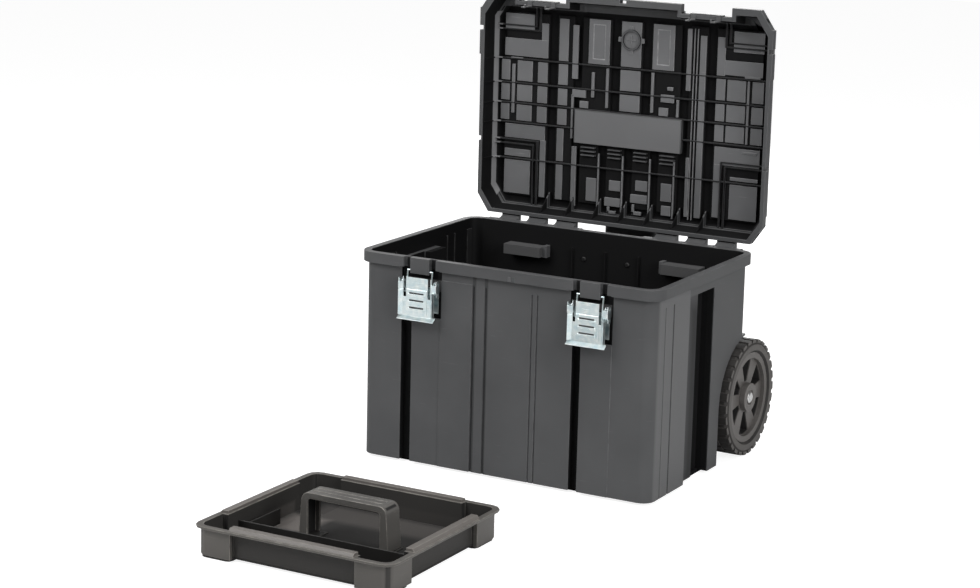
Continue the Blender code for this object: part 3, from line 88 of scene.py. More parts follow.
placeCamera(cameraPlace)
bpy.context.scene.view_settings.view_transform = "Standard"

studio = {
    "lamps": [
        # name, place, aimed at, size, watts
        ("keyLamp", (-1.6, -2.6, 2.6), (0.0, -0.1, 0.3), 1.8, 78.0),
        ("fillLamp", (2.9, -1.4, 1.7), (0.1, 0.0, 0.25), 1.6, 66.0),
        ("topLamp", (0.2, -0.4, 3.0), (0.0, -0.1, 0.2), 1.4, 42.0),
        ("backLamp", (-0.9, 3.0, 1.2), (0.0, 0.2, 0.35), 1.8, 60.0),
    ],
    "skyStrength": 0.24,
    "floorSize": 16.0,
    "floorDrop": 0.0004,
    "floorColour": 0.80,
    "shadowShare": 0.40,
    "floorGlow": 0.86,
}


def addLamp(name, place, target, size, watts):
    data = bpy.data.lights.new(name, "AREA")
    data.size = size
    data.energy = watts
    lamp = bpy.data.objects.new(name, data)
    bpy.context.scene.collection.objects.link(lamp)
    lamp.location = place
    lamp.rotation_euler = (Vector(target) - Vector(place)).to_track_quat("-Z", "Y").to_euler()


for lampRow in studio["lamps"]:
    addLamp(*lampRow)


def link(tree, source, target):
    tree.links.new(source, target)


def sky(strength):
    world = bpy.data.worlds.new("studioSky")
    bpy.context.scene.world = world
    world.use_nodes = True
    tree = world.node_tree
    tree.nodes.clear()
    path = tree.nodes.new("ShaderNodeLightPath")
    seen = tree.nodes.new("ShaderNodeMath")
    seen.operation = "MAXIMUM"
    link(tree, path.outputs["Is Camera Ray"], seen.inputs[0])
    link(tree, path.outputs["Is Transmission Ray"], seen.inputs[1])
    amount = tree.nodes.new("ShaderNodeMapRange")
    amount.inputs["To Min"].default_value = strength
    amount.inputs["To Max"].default_value = 1.0
    link(tree, seen.outputs[0], amount.inputs["Value"])
    glow = tree.nodes.new("ShaderNodeBackground")
    glow.inputs["Color"].default_value = (1.0, 1.0, 1.0, 1.0)
    link(tree, amount.outputs["Result"], glow.inputs["Strength"])
    out = tree.nodes.new("ShaderNodeOutputWorld")
    link(tree, glow.outputs[0], out.inputs["Surface"])


sky(studio["skyStrength"])


def floorLook(settings):
    look = bpy.data.materials.new("paleFloor")
    look.use_nodes = True
    tree = look.node_tree
    tree.nodes.clear()
    plain = tree.nodes.new("ShaderNodeBsdfDiffuse")
    shade = settings["floorColour"]
    plain.inputs["Color"].default_value = (shade, shade, shade, 1.0)
    shadowed = tree.nodes.new("ShaderNodeBsdfDiffuse")
    shade = settings["shadowShare"]
    shadowed.inputs["Color"].default_value = (shade, shade, shade, 1.0)
    glow = tree.nodes.new("ShaderNodeEmission")
    glow.inputs["Strength"].default_value = settings["floorGlow"]
    seen = tree.nodes.new("ShaderNodeAddShader")
    link(tree, shadowed.outputs[0], seen.inputs[0])
    link(tree, glow.outputs[0], seen.inputs[1])
    path = tree.nodes.new("ShaderNodeLightPath")
    both = tree.nodes.new("ShaderNodeMixShader")
    link(tree, path.outputs["Is Camera Ray"], both.inputs[0])
    link(tree, plain.outputs[0], both.inputs[1])
    link(tree, seen.outputs[0], both.inputs[2])
    out = tree.nodes.new("ShaderNodeOutputMaterial")
    link(tree, both.outputs[0], out.inputs["Surface"])
    return look


def deselectAll():
    if bpy.context.object and bpy.context.object.mode != "OBJECT":
        bpy.ops.object.mode_set(mode="OBJECT")
    bpy.ops.object.select_all(action="DESELECT")


deselectAll()
bpy.ops.mesh.primitive_plane_add(size=studio["floorSize"], location=(0.0, 0.0, -studio["floorDrop"]))
floor = bpy.context.object
floor.name = "floor"
floor.data.materials.append(floorLook(studio))
print("camera, lamps and floor ready")


# Shared effects
def newGroup(name, inputs, outputs):
    group = bpy.data.node_groups.new(name, "ShaderNodeTree")
    for label, kind, value in inputs:
        socket = group.interface.new_socket(name=label, in_out="INPUT", socket_type=kind)
        if value is not None:
            socket.default_value = value
    for label, kind in outputs:
        group.interface.new_socket(name=label, in_out="OUTPUT", socket_type=kind)
    entry = group.nodes.new("NodeGroupInput")
    result = group.nodes.new("NodeGroupOutput")
    return group, entry, result


def addMath(tree, operation, first, second=None, clamp=False):
    step = tree.nodes.new("ShaderNodeMath")
    step.operation = operation
    step.use_clamp = clamp
    for slot, value in enumerate((first, second)):
        if value is None:
            continue
        if isinstance(value, (int, float)):
            step.inputs[slot].default_value = value
        else:
            link(tree, value, step.inputs[slot])
    return step.outputs[0]


def addNoise(tree, place, scale, detail=2.0, rough=0.5):
    noise = tree.nodes.new("ShaderNodeTexNoise")
    noise.inputs["Detail"].default_value = detail
    noise.inputs["Roughness"].default_value = rough
    link(tree, place, noise.inputs["Vector"])
    if isinstance(scale, (int, float)):
        noise.inputs["Scale"].default_value = scale
    else:
        link(tree, scale, noise.inputs["Scale"])
    return noise.outputs["Fac"]


def addSpan(tree, value, low, high, toLow=0.0, toHigh=1.0):
    span = tree.nodes.new("ShaderNodeMapRange")
    span.inputs["From Min"].default_value = low
    span.inputs["From Max"].default_value = high
    span.inputs["To Min"].default_value = toLow
    span.inputs["To Max"].default_value = toHigh
    link(tree, value, span.inputs["Value"])
    return span.outputs["Result"]


grainShape = {
    "fine": (2.0, 0.55),  # detail and roughness of the pimples
    "slow": (3.0, 0.5),  # and of the unevenness
    "fineShare": 0.8,
    "slowShare": 0.2,
    "toneSpan": (0.3, 0.7),
}


def makeGrainGroup(s):
    # A moulded or cast skin: fine pimples over a slow unevenness
    group, entry, result = newGroup(
        "skinGrain",
        [
            ("Place", "NodeSocketVector", None),
            ("Pimples", "NodeSocketFloat", 900.0),
            ("Patches", "NodeSocketFloat", 9.0),
        ],
        [("Height", "NodeSocketFloat"), ("Tone", "NodeSocketFloat")],
    )
    fine = addNoise(group, entry.outputs["Place"], entry.outputs["Pimples"], *s["fine"])
    slow = addNoise(group, entry.outputs["Place"], entry.outputs["Patches"], *s["slow"])
    finePart = addMath(group, "MULTIPLY", fine, s["fineShare"])
    slowPart = addMath(group, "MULTIPLY", slow, s["slowShare"])
    link(group, addMath(group, "ADD", finePart, slowPart), result.inputs["Height"])
    link(group, addSpan(group, slow, *s["toneSpan"]), result.inputs["Tone"])
    return group


wearShape = {
    "breaks": (60.0, 4.0, 0.65),  # scale, detail and roughness of the noise that breaks up an edge
    "breakSpan": (0.40, 0.62),
    "brokenShare": 0.75,
    "evenShare": 0.25,
    "stretch": (14.0, 14.0, 160.0),
    "turn": (0.35, 0.2, 0.5),
    "scuffs": (1.6, 3.0, 0.6),
    "scuffSpan": (0.66, 0.74),
    "scuffShare": 0.30,
}


def makeWearGroup(s):
    # Rubbed edges: the edge attribute broken up by noise, with a few fine scuffs on the faces
    group, entry, result = newGroup(
        "edgeWear",
        [
            ("Place", "NodeSocketVector", None),
            ("Edge", "NodeSocketFloat", 0.0),
            ("Amount", "NodeSocketFloat", 0.5),
        ],
        [("Mask", "NodeSocketFloat")],
    )
    broken = addSpan(group, addNoise(group, entry.outputs["Place"], *s["breaks"]), *s["breakSpan"])
    share = addMath(group, "ADD", addMath(group, "MULTIPLY", broken, s["brokenShare"]), s["evenShare"])
    edge = addMath(group, "MULTIPLY", entry.outputs["Edge"], share)
    stretch = group.nodes.new("ShaderNodeMapping")
    stretch.inputs["Scale"].default_value = s["stretch"]
    stretch.inputs["Rotation"].default_value = s["turn"]
    link(group, entry.outputs["Place"], stretch.inputs["Vector"])
    streak = addSpan(group, addNoise(group, stretch.outputs[0], *s["scuffs"]), *s["scuffSpan"])
    both = addMath(group, "MAXIMUM", edge, addMath(group, "MULTIPLY", streak, s["scuffShare"]))
    link(group, addMath(group, "MULTIPLY", both, entry.outputs["Amount"], True), result.inputs["Mask"])
    return group


dustShape = {
    "levelSpan": (0.35, 0.95),  # upward part of the normal where dust begins and where it is full
    "patches": (26.0, 4.0, 0.6),
    "patchSpan": (0.35, 0.70),
}


def makeDustGroup(s):
    # A thin film that settles on what faces up, in loose patches
    group, entry, result = newGroup(
        "settledDust",
        [
            ("Place", "NodeSocketVector", None),
            ("Up", "NodeSocketVector", None),
            ("Amount", "NodeSocketFloat", 0.3),
        ],
        [("Mask", "NodeSocketFloat")],
    )
    parts = group.nodes.new("ShaderNodeSeparateXYZ")
    link(group, entry.outputs["Up"], parts.inputs[0])
    level = addSpan(group, parts.outputs["Z"], *s["levelSpan"])
    patch = addSpan(group, addNoise(group, entry.outputs["Place"], *s["patches"]), *s["patchSpan"])
    film = addMath(group, "MULTIPLY", level, patch)
    link(group, addMath(group, "MULTIPLY", film, entry.outputs["Amount"], True), result.inputs["Mask"])
    return group


def makeBoxGroup():
    # 1 inside a box with soft sides, for painted shade in hollows and painted light on faces
    group, entry, result = newGroup(
        "softBox",
        [
            ("Place", "NodeSocketVector", None),
            ("Low", "NodeSocketVector", None),
            ("High", "NodeSocketVector", None),
            ("Soft", "NodeSocketFloat", 0.002),
            ("Amount", "NodeSocketFloat", 1.0),
        ],
        [("Mask", "NodeSocketFloat")],
    )
    sides = []
    for first, second in (("Low", "Place"), ("Place", "High")):
        gap = group.nodes.new("ShaderNodeVectorMath")
        gap.operation = "SUBTRACT"
        link(group, entry.outputs[first], gap.inputs[0])
        link(group, entry.outputs[second], gap.inputs[1])
        sides.append(gap.outputs[0])
    outside = group.nodes.new("ShaderNodeVectorMath")
    outside.operation = "MAXIMUM"
    link(group, sides[0], outside.inputs[0])
    link(group, sides[1], outside.inputs[1])
    parts = group.nodes.new("ShaderNodeSeparateXYZ")
    link(group, outside.outputs[0], parts.inputs[0])
    most = addMath(group, "MAXIMUM", parts.outputs[0], parts.outputs[1])
    most = addMath(group, "MAXIMUM", most, parts.outputs[2])
    inward = addMath(group, "MULTIPLY", most, -1.0)
    depth = addMath(group, "DIVIDE", inward, entry.outputs["Soft"], True)
    link(group, addMath(group, "MULTIPLY", depth, entry.outputs["Amount"], True), result.inputs["Mask"])
    return group


inwardSpan = (-0.02, 0.0)


def makeInwardGroup(span):
    # 1 where a face looks towards the middle of its piece, seen from above, so that painted shade falls
    # only on inner faces
    group, entry, result = newGroup(
        "facesInward",
        [("Place", "NodeSocketVector", None), ("Facing", "NodeSocketVector", None)],
        [("Mask", "NodeSocketFloat")],
    )
    level = group.nodes.new("ShaderNodeVectorMath")
    level.operation = "MULTIPLY"
    level.inputs[1].default_value = (1.0, 1.0, 0.0)
    link(group, entry.outputs["Place"], level.inputs[0])
    outward = group.nodes.new("ShaderNodeVectorMath")
    outward.operation = "DOT_PRODUCT"
    link(group, level.outputs[0], outward.inputs[0])
    link(group, entry.outputs["Facing"], outward.inputs[1])
    link(group, addSpan(group, outward.outputs["Value"], *span, 1.0, 0.0), result.inputs["Mask"])
    return group


skinGrain = makeGrainGroup(grainShape)
edgeWear = makeWearGroup(wearShape)
settledDust = makeDustGroup(dustShape)
softBox = makeBoxGroup()
facesInward = makeInwardGroup(inwardSpan)


def useGroup(tree, group, **values):
    placed = tree.nodes.new("ShaderNodeGroup")
    placed.node_tree = group
    for label, value in values.items():
        if isinstance(value, (int, float, tuple)):
            placed.inputs[label].default_value = value
        else:
            link(tree, value, placed.inputs[label])
    return placed


def mixColour(tree, amount, first, second):
    mix = tree.nodes.new("ShaderNodeMix")
    mix.data_type = "RGBA"
    link(tree, amount, mix.inputs["Factor"])
    for label, value in (("A", first), ("B", second)):
        socket = [s for s in mix.inputs if s.name == label and s.type == "RGBA"][0]
        if isinstance(value, tuple):
            socket.default_value = (*value, 1.0)
        else:
            link(tree, value, socket)
    return [s for s in mix.outputs if s.type == "RGBA"][0]


def startLook(name):
    look = bpy.data.materials.new(name)
    look.use_nodes = True
    tree = look.node_tree
    shader = tree.nodes["Principled BSDF"]
    where = tree.nodes.new("ShaderNodeTexCoord")
    return look, tree, shader, where


def addBump(tree, shader, height, strength, distance):
    bump = tree.nodes.new("ShaderNodeBump")
    bump.inputs["Strength"].default_value = strength
    bump.inputs["Distance"].default_value = distance
    link(tree, height, bump.inputs["Height"])
    link(tree, bump.outputs["Normal"], shader.inputs["Normal"])


def addWear(tree, place, tone, s):
    edge = tree.nodes.new("ShaderNodeAttribute")
    edge.attribute_name = "edge"
    wear = useGroup(tree, edgeWear, Place=place, Edge=edge.outputs["Fac"], Amount=s["wear"])
    return mixColour(tree, wear.outputs["Mask"], tone, s["rubbed"])


def boxMask(tree, place, row):
    low, high, soft, amount = row
    box = useGroup(tree, softBox, Place=place, Low=low, High=high, Soft=soft, Amount=amount)
    return box.outputs["Mask"]


mouldedFinish = {
    "flankSpan": (0.70, 0.95),  # sideways part of the normal on a tyre's flank
    "roughSpread": 0.05,
    "dustRough": 0.40,
    "shadeRough": 0.30,
    "bumpDistance": 0.0006,
}


def mouldedLook(name, s, finish=mouldedFinish):
    # Moulded plastic or rubber: tone, grain, rubbed edges, a little dust, then painted shade and painted
    # light in boxes
    look, tree, shader, where = startLook(name)
    place = where.outputs["Object"]
    grain = useGroup(tree, skinGrain, Place=place, Pimples=s["pimples"], Patches=s["patches"])
    tone = mixColour(tree, grain.outputs["Tone"], s["dark"], s["light"])
    worn = addWear(tree, place, tone, s)
    dust = useGroup(tree, settledDust, Place=place, Up=where.outputs["Normal"], Amount=s["dust"])
    final = mixColour(tree, dust.outputs["Mask"], worn, s["dustColour"])
    if "flankColour" in s:
        facing = tree.nodes.new("ShaderNodeSeparateXYZ")
        link(tree, where.outputs["Normal"], facing.inputs[0])
        flank = addSpan(tree, addMath(tree, "ABSOLUTE", facing.outputs["X"]), *finish["flankSpan"])
        final = mixColour(tree, flank, final, s["flankColour"])
    least, most = s["rough"] - finish["roughSpread"], s["rough"] + finish["roughSpread"]
    rough = addSpan(tree, grain.outputs["Tone"], 0.0, 1.0, least, most)
    duller = addMath(tree, "MULTIPLY", dust.outputs["Mask"], finish["dustRough"])
    rough = addMath(tree, "ADD", rough, duller, True)
    # painted shade: each box darkens the colour towards the shade colour and roughens the surface
    for row in s.get("hollows", []):
        shade = boxMask(tree, place, row)
        final = mixColour(tree, shade, final, s["hollowColour"])
        rough = addMath(tree, "ADD", rough, addMath(tree, "MULTIPLY", shade, finish["shadeRough"]), True)
    # painted shade only on the faces that look inwards
    for row in s.get("innerHollows", []):
        inward = useGroup(tree, facesInward, Place=place, Facing=where.outputs["Normal"])
        inside = addMath(tree, "MULTIPLY", boxMask(tree, place, row), inward.outputs["Mask"])
        final = mixColour(tree, inside, final, s["hollowColour"])
    # painted light: each box lightens the colour
    for row in s.get("lights", []):
        final = mixColour(tree, boxMask(tree, place, row), final, s["lightColour"])
    link(tree, final, shader.inputs["Base Color"])
    link(tree, rough, shader.inputs["Roughness"])
    shader.inputs["Specular IOR Level"].default_value = s["specular"]
    addBump(tree, shader, grain.outputs["Height"], s["bump"], finish["bumpDistance"])
    look.diffuse_color = (*s["light"], 1.0)
    return look


metalFinish = {
    "drawn": (1.0, 2.0, 0.5),  # scale, detail and roughness of the drawn lines
    "drawnSpan": (0.3, 0.7),
    "smoother": 0.06,
    "rougher": 0.08,
    "bumpDistance": 0.0003,
}


def metalLook(name, s, finish=metalFinish):
    # Plated or drawn metal: slow tint patches, fine lines along one axis and small dull marks
    look, tree, shader, where = startLook(name)
    place = where.outputs["Object"]
    grain = useGroup(tree, skinGrain, Place=place, Pimples=s["pimples"], Patches=s["patches"])
    tint = mixColour(tree, grain.outputs["Tone"], s["cool"], s["warm"])
    link(tree, addWear(tree, place, tint, s), shader.inputs["Base Color"])
    lines = tree.nodes.new("ShaderNodeMapping")
    lines.inputs["Scale"].default_value = s["lines"]
    link(tree, place, lines.inputs["Vector"])
    drawn = addNoise(tree, lines.outputs[0], *finish["drawn"])
    least, most = s["rough"] - finish["smoother"], s["rough"] + finish["rougher"]
    link(tree, addSpan(tree, drawn, *finish["drawnSpan"], least, most), shader.inputs["Roughness"])
    shader.inputs["Metallic"].default_value = 1.0
    addBump(tree, shader, drawn, s["bump"], finish["bumpDistance"])
    look.diffuse_color = (*s["cool"], 1.0)
    return look


charcoal = {
    "dark": (0.060, 0.061, 0.063),
    "light": (0.078, 0.079, 0.081),
    "rubbed": (0.20, 0.20, 0.205),
    "dustColour": (0.20, 0.19, 0.18),
    # painted shade colour for hollows, then painted light colour for faces that catch light
    "hollowColour": (0.0045, 0.0045, 0.0048),
    "lightColour": (0.16, 0.16, 0.162),
    "pimples": 1100.0,
    "patches": 7.0,
    "rough": 0.50,
    "specular": 0.40,
    "wear": 0.35,
    "dust": 0.10,
    "bump": 0.20,
}

# Places with painted shade and painted light. Each becomes a box: its low corner, high corner, softness and
# amount.
caseShape = {
    "inner": (0.2662, 0.1812),  # half sizes of the inside
    "corner": 0.0200,
    "behindShelf": 0.2530,
    "top": 0.3524,
    "below": -0.0100,
    "wallShade": (0.0012, 0.99),
    "wells": (0.2320, 0.0600, 0.1800, 0.2400),  # half width, near, far and top
    "wellShade": (0.0020, 0.90),
    "channelFace": -0.1821,  # just behind the face of the front
    "channelShade": (0.0075, 0.97),
    "reliefTop": 0.3205,
    "slots": (0.1330, 0.1790),  # middles of the slots in the rim beside a tongue
    "slotSize": (0.0055, -0.1892, 0.3000),  # half width, near and bottom
    "slotShade": (0.0015, 0.92),
    "grooves": [(-0.0605, -0.0525), (-0.0385, -0.0305)],
    "grooveSize": (-0.1850, -0.1700, 0.3360),  # near, far and top
    "grooveShade": (0.0016, 0.42),
    "sideBottom": -0.0450,
    "sideShades": [
        # painted shade: reach, near, far, softness, amount
        (0.2935, -0.0520, 0.0310, 0.0350, 0.60),  # shelf of the side recess
        (0.2560, -0.0045, 0.0440, 0.0020, 0.97),  # its pocket
        (0.2669, 0.0010, 0.1650, 0.0095, 0.95),  # wheel well
        (0.2672, -0.1154, -0.1106, 0.0006, 0.62),  # groove in front of the recess
    ],
    # painted light on the ledges and on the front of the right side, in these rows
    "ledges": [(-0.1900, -0.1785), (-0.1900, 0.1200), (0.1140, -0.1785), (0.1140, 0.1200)],  # left and near
    "ledgeSize": (0.0760, 0.0585),
    "ledgeSpan": (0.2985, 0.3190),
    "ledgeLight": (0.0010, 0.40),
    "sideLight": ((0.2660, -0.1900, 0.0), (0.2700, -0.0530, 0.332), 0.0010, 0.38),
}


def casePaintedShades(s):
    # Painted shade inside the case, in the channels of its front and in the recesses of its sides
    wide, deep = s["inner"]
    corner, top, below, shelf = s["corner"], s["top"], s["below"], s["behindShelf"]
    rows = [
        ((corner - wide, -deep, 0.0), (wide - corner, deep, top), *s["wallShade"]),
        ((-shelf, corner - deep, 0.0), (shelf, deep - corner, top), *s["wallShade"]),
    ]
    half, near, far, high = s["wells"]
    rows.append(((-half, near, below), (half, far, high), *s["wellShade"]))
    start, end = (corner - wide, s["channelFace"], below), (wide - corner, 0.0, s["reliefTop"])
    rows.append((start, end, *s["channelShade"]))
    half, near, bottom = s["slotSize"]
    for middle in s["slots"]:
        for side in (-1, 1):
            left = side * middle - half
            rows.append(((left, near, bottom), (left + 2 * half, 0.0, top), *s["slotShade"]))
    near, far, high = s["grooveSize"]
    for left, right in s["grooves"]:
        rows.append(((left, near, below), (right, far, high), *s["grooveShade"]))
    for side in (-1, 1):
        for reach, near, far, soft, amount in s["sideShades"]:
            left, right = sorted((side * reach, 0.0))
            rows.append(((left, near, s["sideBottom"]), (right, far, s["reliefTop"]), soft, amount))
    return rows


def caseInsidePaintedShade(s):
    # Painted shade over the whole inside, for the faces of the walls that look inwards
    wide, deep = s["inner"]
    return [((-wide, -deep, 0.0), (wide, deep, s["top"]), *s["wallShade"])]


def casePaintedLights(s):
    # Painted light on the right side's front part and on the ledges of the tray
    width, depth = s["ledgeSize"]
    low, high = s["ledgeSpan"]
    rows = [s["sideLight"]]
    for left, near in s["ledges"]:
        rows.append(((left, near, low), (left + width, near + depth, high), *s["ledgeLight"]))
    return rows


lidShape = {
    # painted shade boxes: half width, near, far, bottom, top, softness, amount
    "shades": [
        (0.2620, 0.2519, 0.2604, 0.3600, 0.7240, 0.0010, 0.98),  # ground between the panels
        (0.2620, 0.2541, 0.2604, 0.3600, 0.7240, 0.0016, 0.99),  # slots in that ground
        (0.2690, 0.2130, 0.2425, 0.3560, 0.7422, 0.0020, 0.99),  # inner walls
        (0.2620, 0.2469, 0.2503, 0.3600, 0.7240, 0.0005, 0.80),  # tops of the ribs
    ],
    "innerShades": [(0.2765, 0.2126, 0.2425, 0.3560, 0.7422, 0.0010, 0.99)],
}


def lidPaintedShadeBoxes(rows):
    # boxes of painted shade across the lid, from side to side
    boxes = []
    for half, near, far, low, high, soft, amount in rows:
        boxes.append(((-half, near, low), (half, far, high), soft, amount))
    return boxes


trayShape = {
    "middle": (-0.023, -0.606),
    "recess": (0.1590, 0.1515),
    "pocket": (0.1637, 0.1562),  # half sizes to just outside the inner faces of the corner posts
    "post": (0.1080, 0.0955),
    "below": -0.0200,
    "top": 0.0500,
    "floorTop": 0.0085,
    "shade": (0.0010, 0.68),
    "floorShade": (0.0010, 0.50),
}


def trayPaintedShades(s):
    # Painted shade inside the tray, its four corner pockets among it
    midX, midY = s["middle"]
    wide, deep = s["recess"]
    start = (midX - wide, midY - deep, s["below"])
    rows = [
        (start, (midX + wide, midY + deep, s["top"]), *s["shade"]),
        (start, (midX + wide, midY + deep, s["floorTop"]), *s["floorShade"]),
    ]
    for signX in (-1, 1):
        for signY in (-1, 1):
            left, right = sorted((midX + signX * s["post"][0], midX + signX * s["pocket"][0]))
            near, far = sorted((midY + signY * s["post"][1], midY + signY * s["pocket"][1]))
            rows.append(((left, near, s["below"]), (right, far, s["top"]), *s["shade"]))
    return rows


looks = {
    "case": mouldedLook("caseShell", {
        **charcoal,
        "specular": 0.14,
        "hollows": casePaintedShades(caseShape),
        "innerHollows": caseInsidePaintedShade(caseShape),
        "lights": casePaintedLights(caseShape),
    }),
    "lid": mouldedLook("lidShell", {
        **charcoal,
        "specular": 0.14,
        "lightColour": (0.24, 0.24, 0.245),
        "hollows": lidPaintedShadeBoxes(lidShape["shades"]),
        "innerHollows": lidPaintedShadeBoxes(lidShape["innerShades"]),
        "lights": [
            ((-0.2660, 0.2395, 0.375), (-0.2515, 0.2532, 0.715), 0.0012, 0.90),  # painted light on the left strip of the inside
            ((-0.1020, 0.2425, 0.4940), (0.1020, 0.2470, 0.5520), 0.0010, 0.35),  # painted light on the bar across the middle
        ],
    }),
    # the charcoal lightened: painted light on the raised panels inside the lid
    "lidPanel": mouldedLook("lidPanels", {
        **charcoal,
        "dark": (0.090, 0.091, 0.094),
        "light": (0.135, 0.136, 0.140),
        "rubbed": (0.28, 0.28, 0.285),
        "wear": 0.85,
        "specular": 0.3,
    }),
    "tray": mouldedLook("trayShell", {
        **charcoal,
        "dark": (0.066, 0.062, 0.057),
        "light": (0.088, 0.082, 0.075),
        "rubbed": (0.25, 0.235, 0.21),
        "lightColour": (0.19, 0.172, 0.160),
        "rough": 0.46,
        "wear": 0.6,
        "hollows": trayPaintedShades(trayShape),
        "lights": [
            ((-0.1640, -0.5400, -0.03), (0.1200, -0.4560, 0.0280), 0.0200, 0.16),  # painted light on the floor behind the handle
            ((-0.1815, -0.6150, -0.03), (-0.1000, -0.5210, 0.0280), 0.0200, 0.62),  # painted light on the floor left of it
            ((-0.1960, -0.7720, 0.0503), (0.1500, -0.4400, 0.0570), 0.0010, 0.40),  # painted light on the top of the rim
        ],
    }),
    "trayGrip": mouldedLook("trayGrip", {
        **charcoal,
        "dark": (0.078, 0.075, 0.071),
        "light": (0.104, 0.099, 0.092),
        "rubbed": (0.31, 0.29, 0.265),
        "rough": 0.40,
        "wear": 0.85,
        "hollows": [
            ((-0.0960, -0.6203, 0.0), (0.0500, -0.5917, 0.0775), 0.0010, 0.92),  # painted shade inside the channel
            ((-0.0860, -0.6160, 0.0780), (0.0400, -0.5960, 0.07965), 0.0003, 0.80),  # painted shade in the grooves along its top
        ],
    }),
    # the charcoal darkened: painted shade for the ribs inside the case
    "innerWall": mouldedLook("innerWall", {
        **charcoal,
        "dark": (0.0090, 0.0090, 0.0095),
        "light": (0.0150, 0.0150, 0.0155),
        "rough": 0.7,
        "specular": 0.25,
        "wear": 0.3,
    }),
    # dark sheets of painted shade under the latch louvres and in the rim slot
    "opening": mouldedLook("louvreOpening", {
        **charcoal,
        "dark": (0.036, 0.040, 0.041),
        "light": (0.062, 0.067, 0.068),
        "rough": 0.75,
    }),
    "blackScrew": metalLook("blackenedScrew", {
        "cool": (0.035, 0.036, 0.038),
        "warm": (0.055, 0.054, 0.052),
        "rubbed": (0.30, 0.30, 0.30),
        "pimples": 800.0,
        "patches": 90.0,
        "lines": (200.0, 200.0, 200.0),
        "rough": 0.55,
        "wear": 0.4,
        "bump": 0.12,
    }),
    # the charcoal darkened: painted shade for the divider inside the tray
    "divider": mouldedLook("trayDivider", {
        **charcoal,
        "dark": (0.010, 0.0095, 0.009),
        "light": (0.018, 0.017, 0.016),
        "wear": 0.15,
    }),
    "charcoal_plastic": mouldedLook("charcoalPlastic", charcoal),
    "dark_plastic": mouldedLook("darkPlastic", {
        **charcoal,
        "dark": (0.020, 0.020, 0.021),
        "light": (0.030, 0.030, 0.031),
    }),
    "warm_grey_plastic": mouldedLook("warmGreyPlastic", {
        **charcoal,
        "dark": (0.066, 0.062, 0.058),
        "light": (0.088, 0.083, 0.077),
        "rubbed": (0.23, 0.22, 0.20),
        "rough": 0.46,
    }),
    "tyre_rubber": mouldedLook("tyreRubber", {
        **charcoal,
        "dark": (0.011, 0.010, 0.0095),
        "light": (0.022, 0.020, 0.019),
        "rubbed": (0.07, 0.065, 0.060),
        "flankColour": (0.088, 0.083, 0.079),
        "rough": 0.72,
        "bump": 0.4,
        "dust": 0.25,
    }),
    "hub_plastic": mouldedLook("hubPlastic", {
        **charcoal,
        "dark": (0.084, 0.078, 0.074),
        "light": (0.112, 0.105, 0.099),
        "rubbed": (0.26, 0.245, 0.23),
        "hollows": [((-0.2660, 0.0800, -0.01), (0.2660, 0.3000, 0.21), 0.0015, 0.92)],  # painted shade behind its face
    }),
    "zinc_plate": metalLook("zincPlate", {
        "cool": (0.54, 0.66, 0.69),
        "warm": (0.76, 0.81, 0.80),
        "rubbed": (0.93, 0.95, 0.95),
        "pimples": 500.0,
        "patches": 95.0,
        "lines": (30.0, 900.0, 900.0),
        "rough": 0.32,
        "wear": 0.6,
        "bump": 0.15,
    }),
    "steel": metalLook("turnedSteel", {
        "cool": (0.55, 0.56, 0.57),
        "warm": (0.66, 0.65, 0.63),
        "rubbed": (0.85, 0.85, 0.85),
        "pimples": 700.0,
        "patches": 40.0,
        "lines": (1200.0, 40.0, 40.0),
        "rough": 0.28,
        "wear": 0.5,
        "bump": 0.15,
    }),
    "aluminium": metalLook("drawnAluminium", {
        "cool": (0.58, 0.59, 0.60),
        "warm": (0.70, 0.70, 0.70),
        "rubbed": (0.85, 0.85, 0.85),
        "pimples": 700.0,
        "patches": 20.0,
        "lines": (1500.0, 1500.0, 12.0),
        "rough": 0.32,
        "wear": 0.4,
        "bump": 0.12,
    }),
    "bush_nylon": mouldedLook("bushNylon", {
        **charcoal,
        "dark": (0.50, 0.49, 0.45),
        "light": (0.60, 0.59, 0.55),
        "rubbed": (0.7, 0.7, 0.66),
        "rough": 0.40,
    }),
    "plate_plastic": mouldedLook("platePlastic", {
        **charcoal,
        "dark": (0.17, 0.16, 0.045),
        "light": (0.23, 0.22, 0.065),
        "rubbed": (0.35, 0.34, 0.2),
        "rough": 0.42,
    }),
}
print("finishes ready:", len(looks))

slotOf = {}
for row in frame["record"]["subparts"]:
    slotOf[row["node"]] = row["material_slot"]
bodyOf = {}
for body, members in frame["record"]["behaviour"]["bodies"].items():
    for name in members:
        bodyOf[name] = body

lookOf = {"case_tub": "case", "lid_shell": "lid", "tray_tub": "tray", "tray_divider": "divider"}
for name in nodes:
    if "_screw_" in name:
        lookOf[name] = "blackScrew"
for name, node in nodes.items():
    node.data.materials.clear()
    node.data.materials.append(looks[lookOf.get(name, slotOf[name])])
print("finishes given to every node")


# Copies of CAD nodes with rounded edges. Each replaces the node that it is made from.
softEdges = {
    # node: width of its rounded edges
    "case_tub": 0.0005,
    "lid_shell": 0.0006,
    "lid_grip": 0.0012,
    "lid_plate": 0.0005,
    "lid_catch_left": 0.0004,
    "lid_catch_right": 0.0004,
    "latch_lever_left": 0.0004,
    "latch_lever_right": 0.0004,
    "latch_bracket_left": 0.0004,
    "latch_bracket_right": 0.0004,
    "tray_tub": 0.0008,
    "tray_divider": 0.0005,
    "tyre_left": 0.0007,
    "tyre_right": 0.0007,
    "axle_cap_left": 0.0005,
    "axle_cap_right": 0.0005,
    "axle_block_left": 0.0010,
    "axle_block_right": 0.0010,
    "handle_collar": 0.0010,
    "pull_grip": 0.0008,
    "release_button": 0.0006,
}
softening = {
    "mergeWithin": 0.00001,
    "flatWithin": 1.0,  # degrees, as the next angles
    "edgeAbove": 40.0,
    "smoothWithin": 50.0,
    "segments": 2,
    "shadeWeight": 50,
}


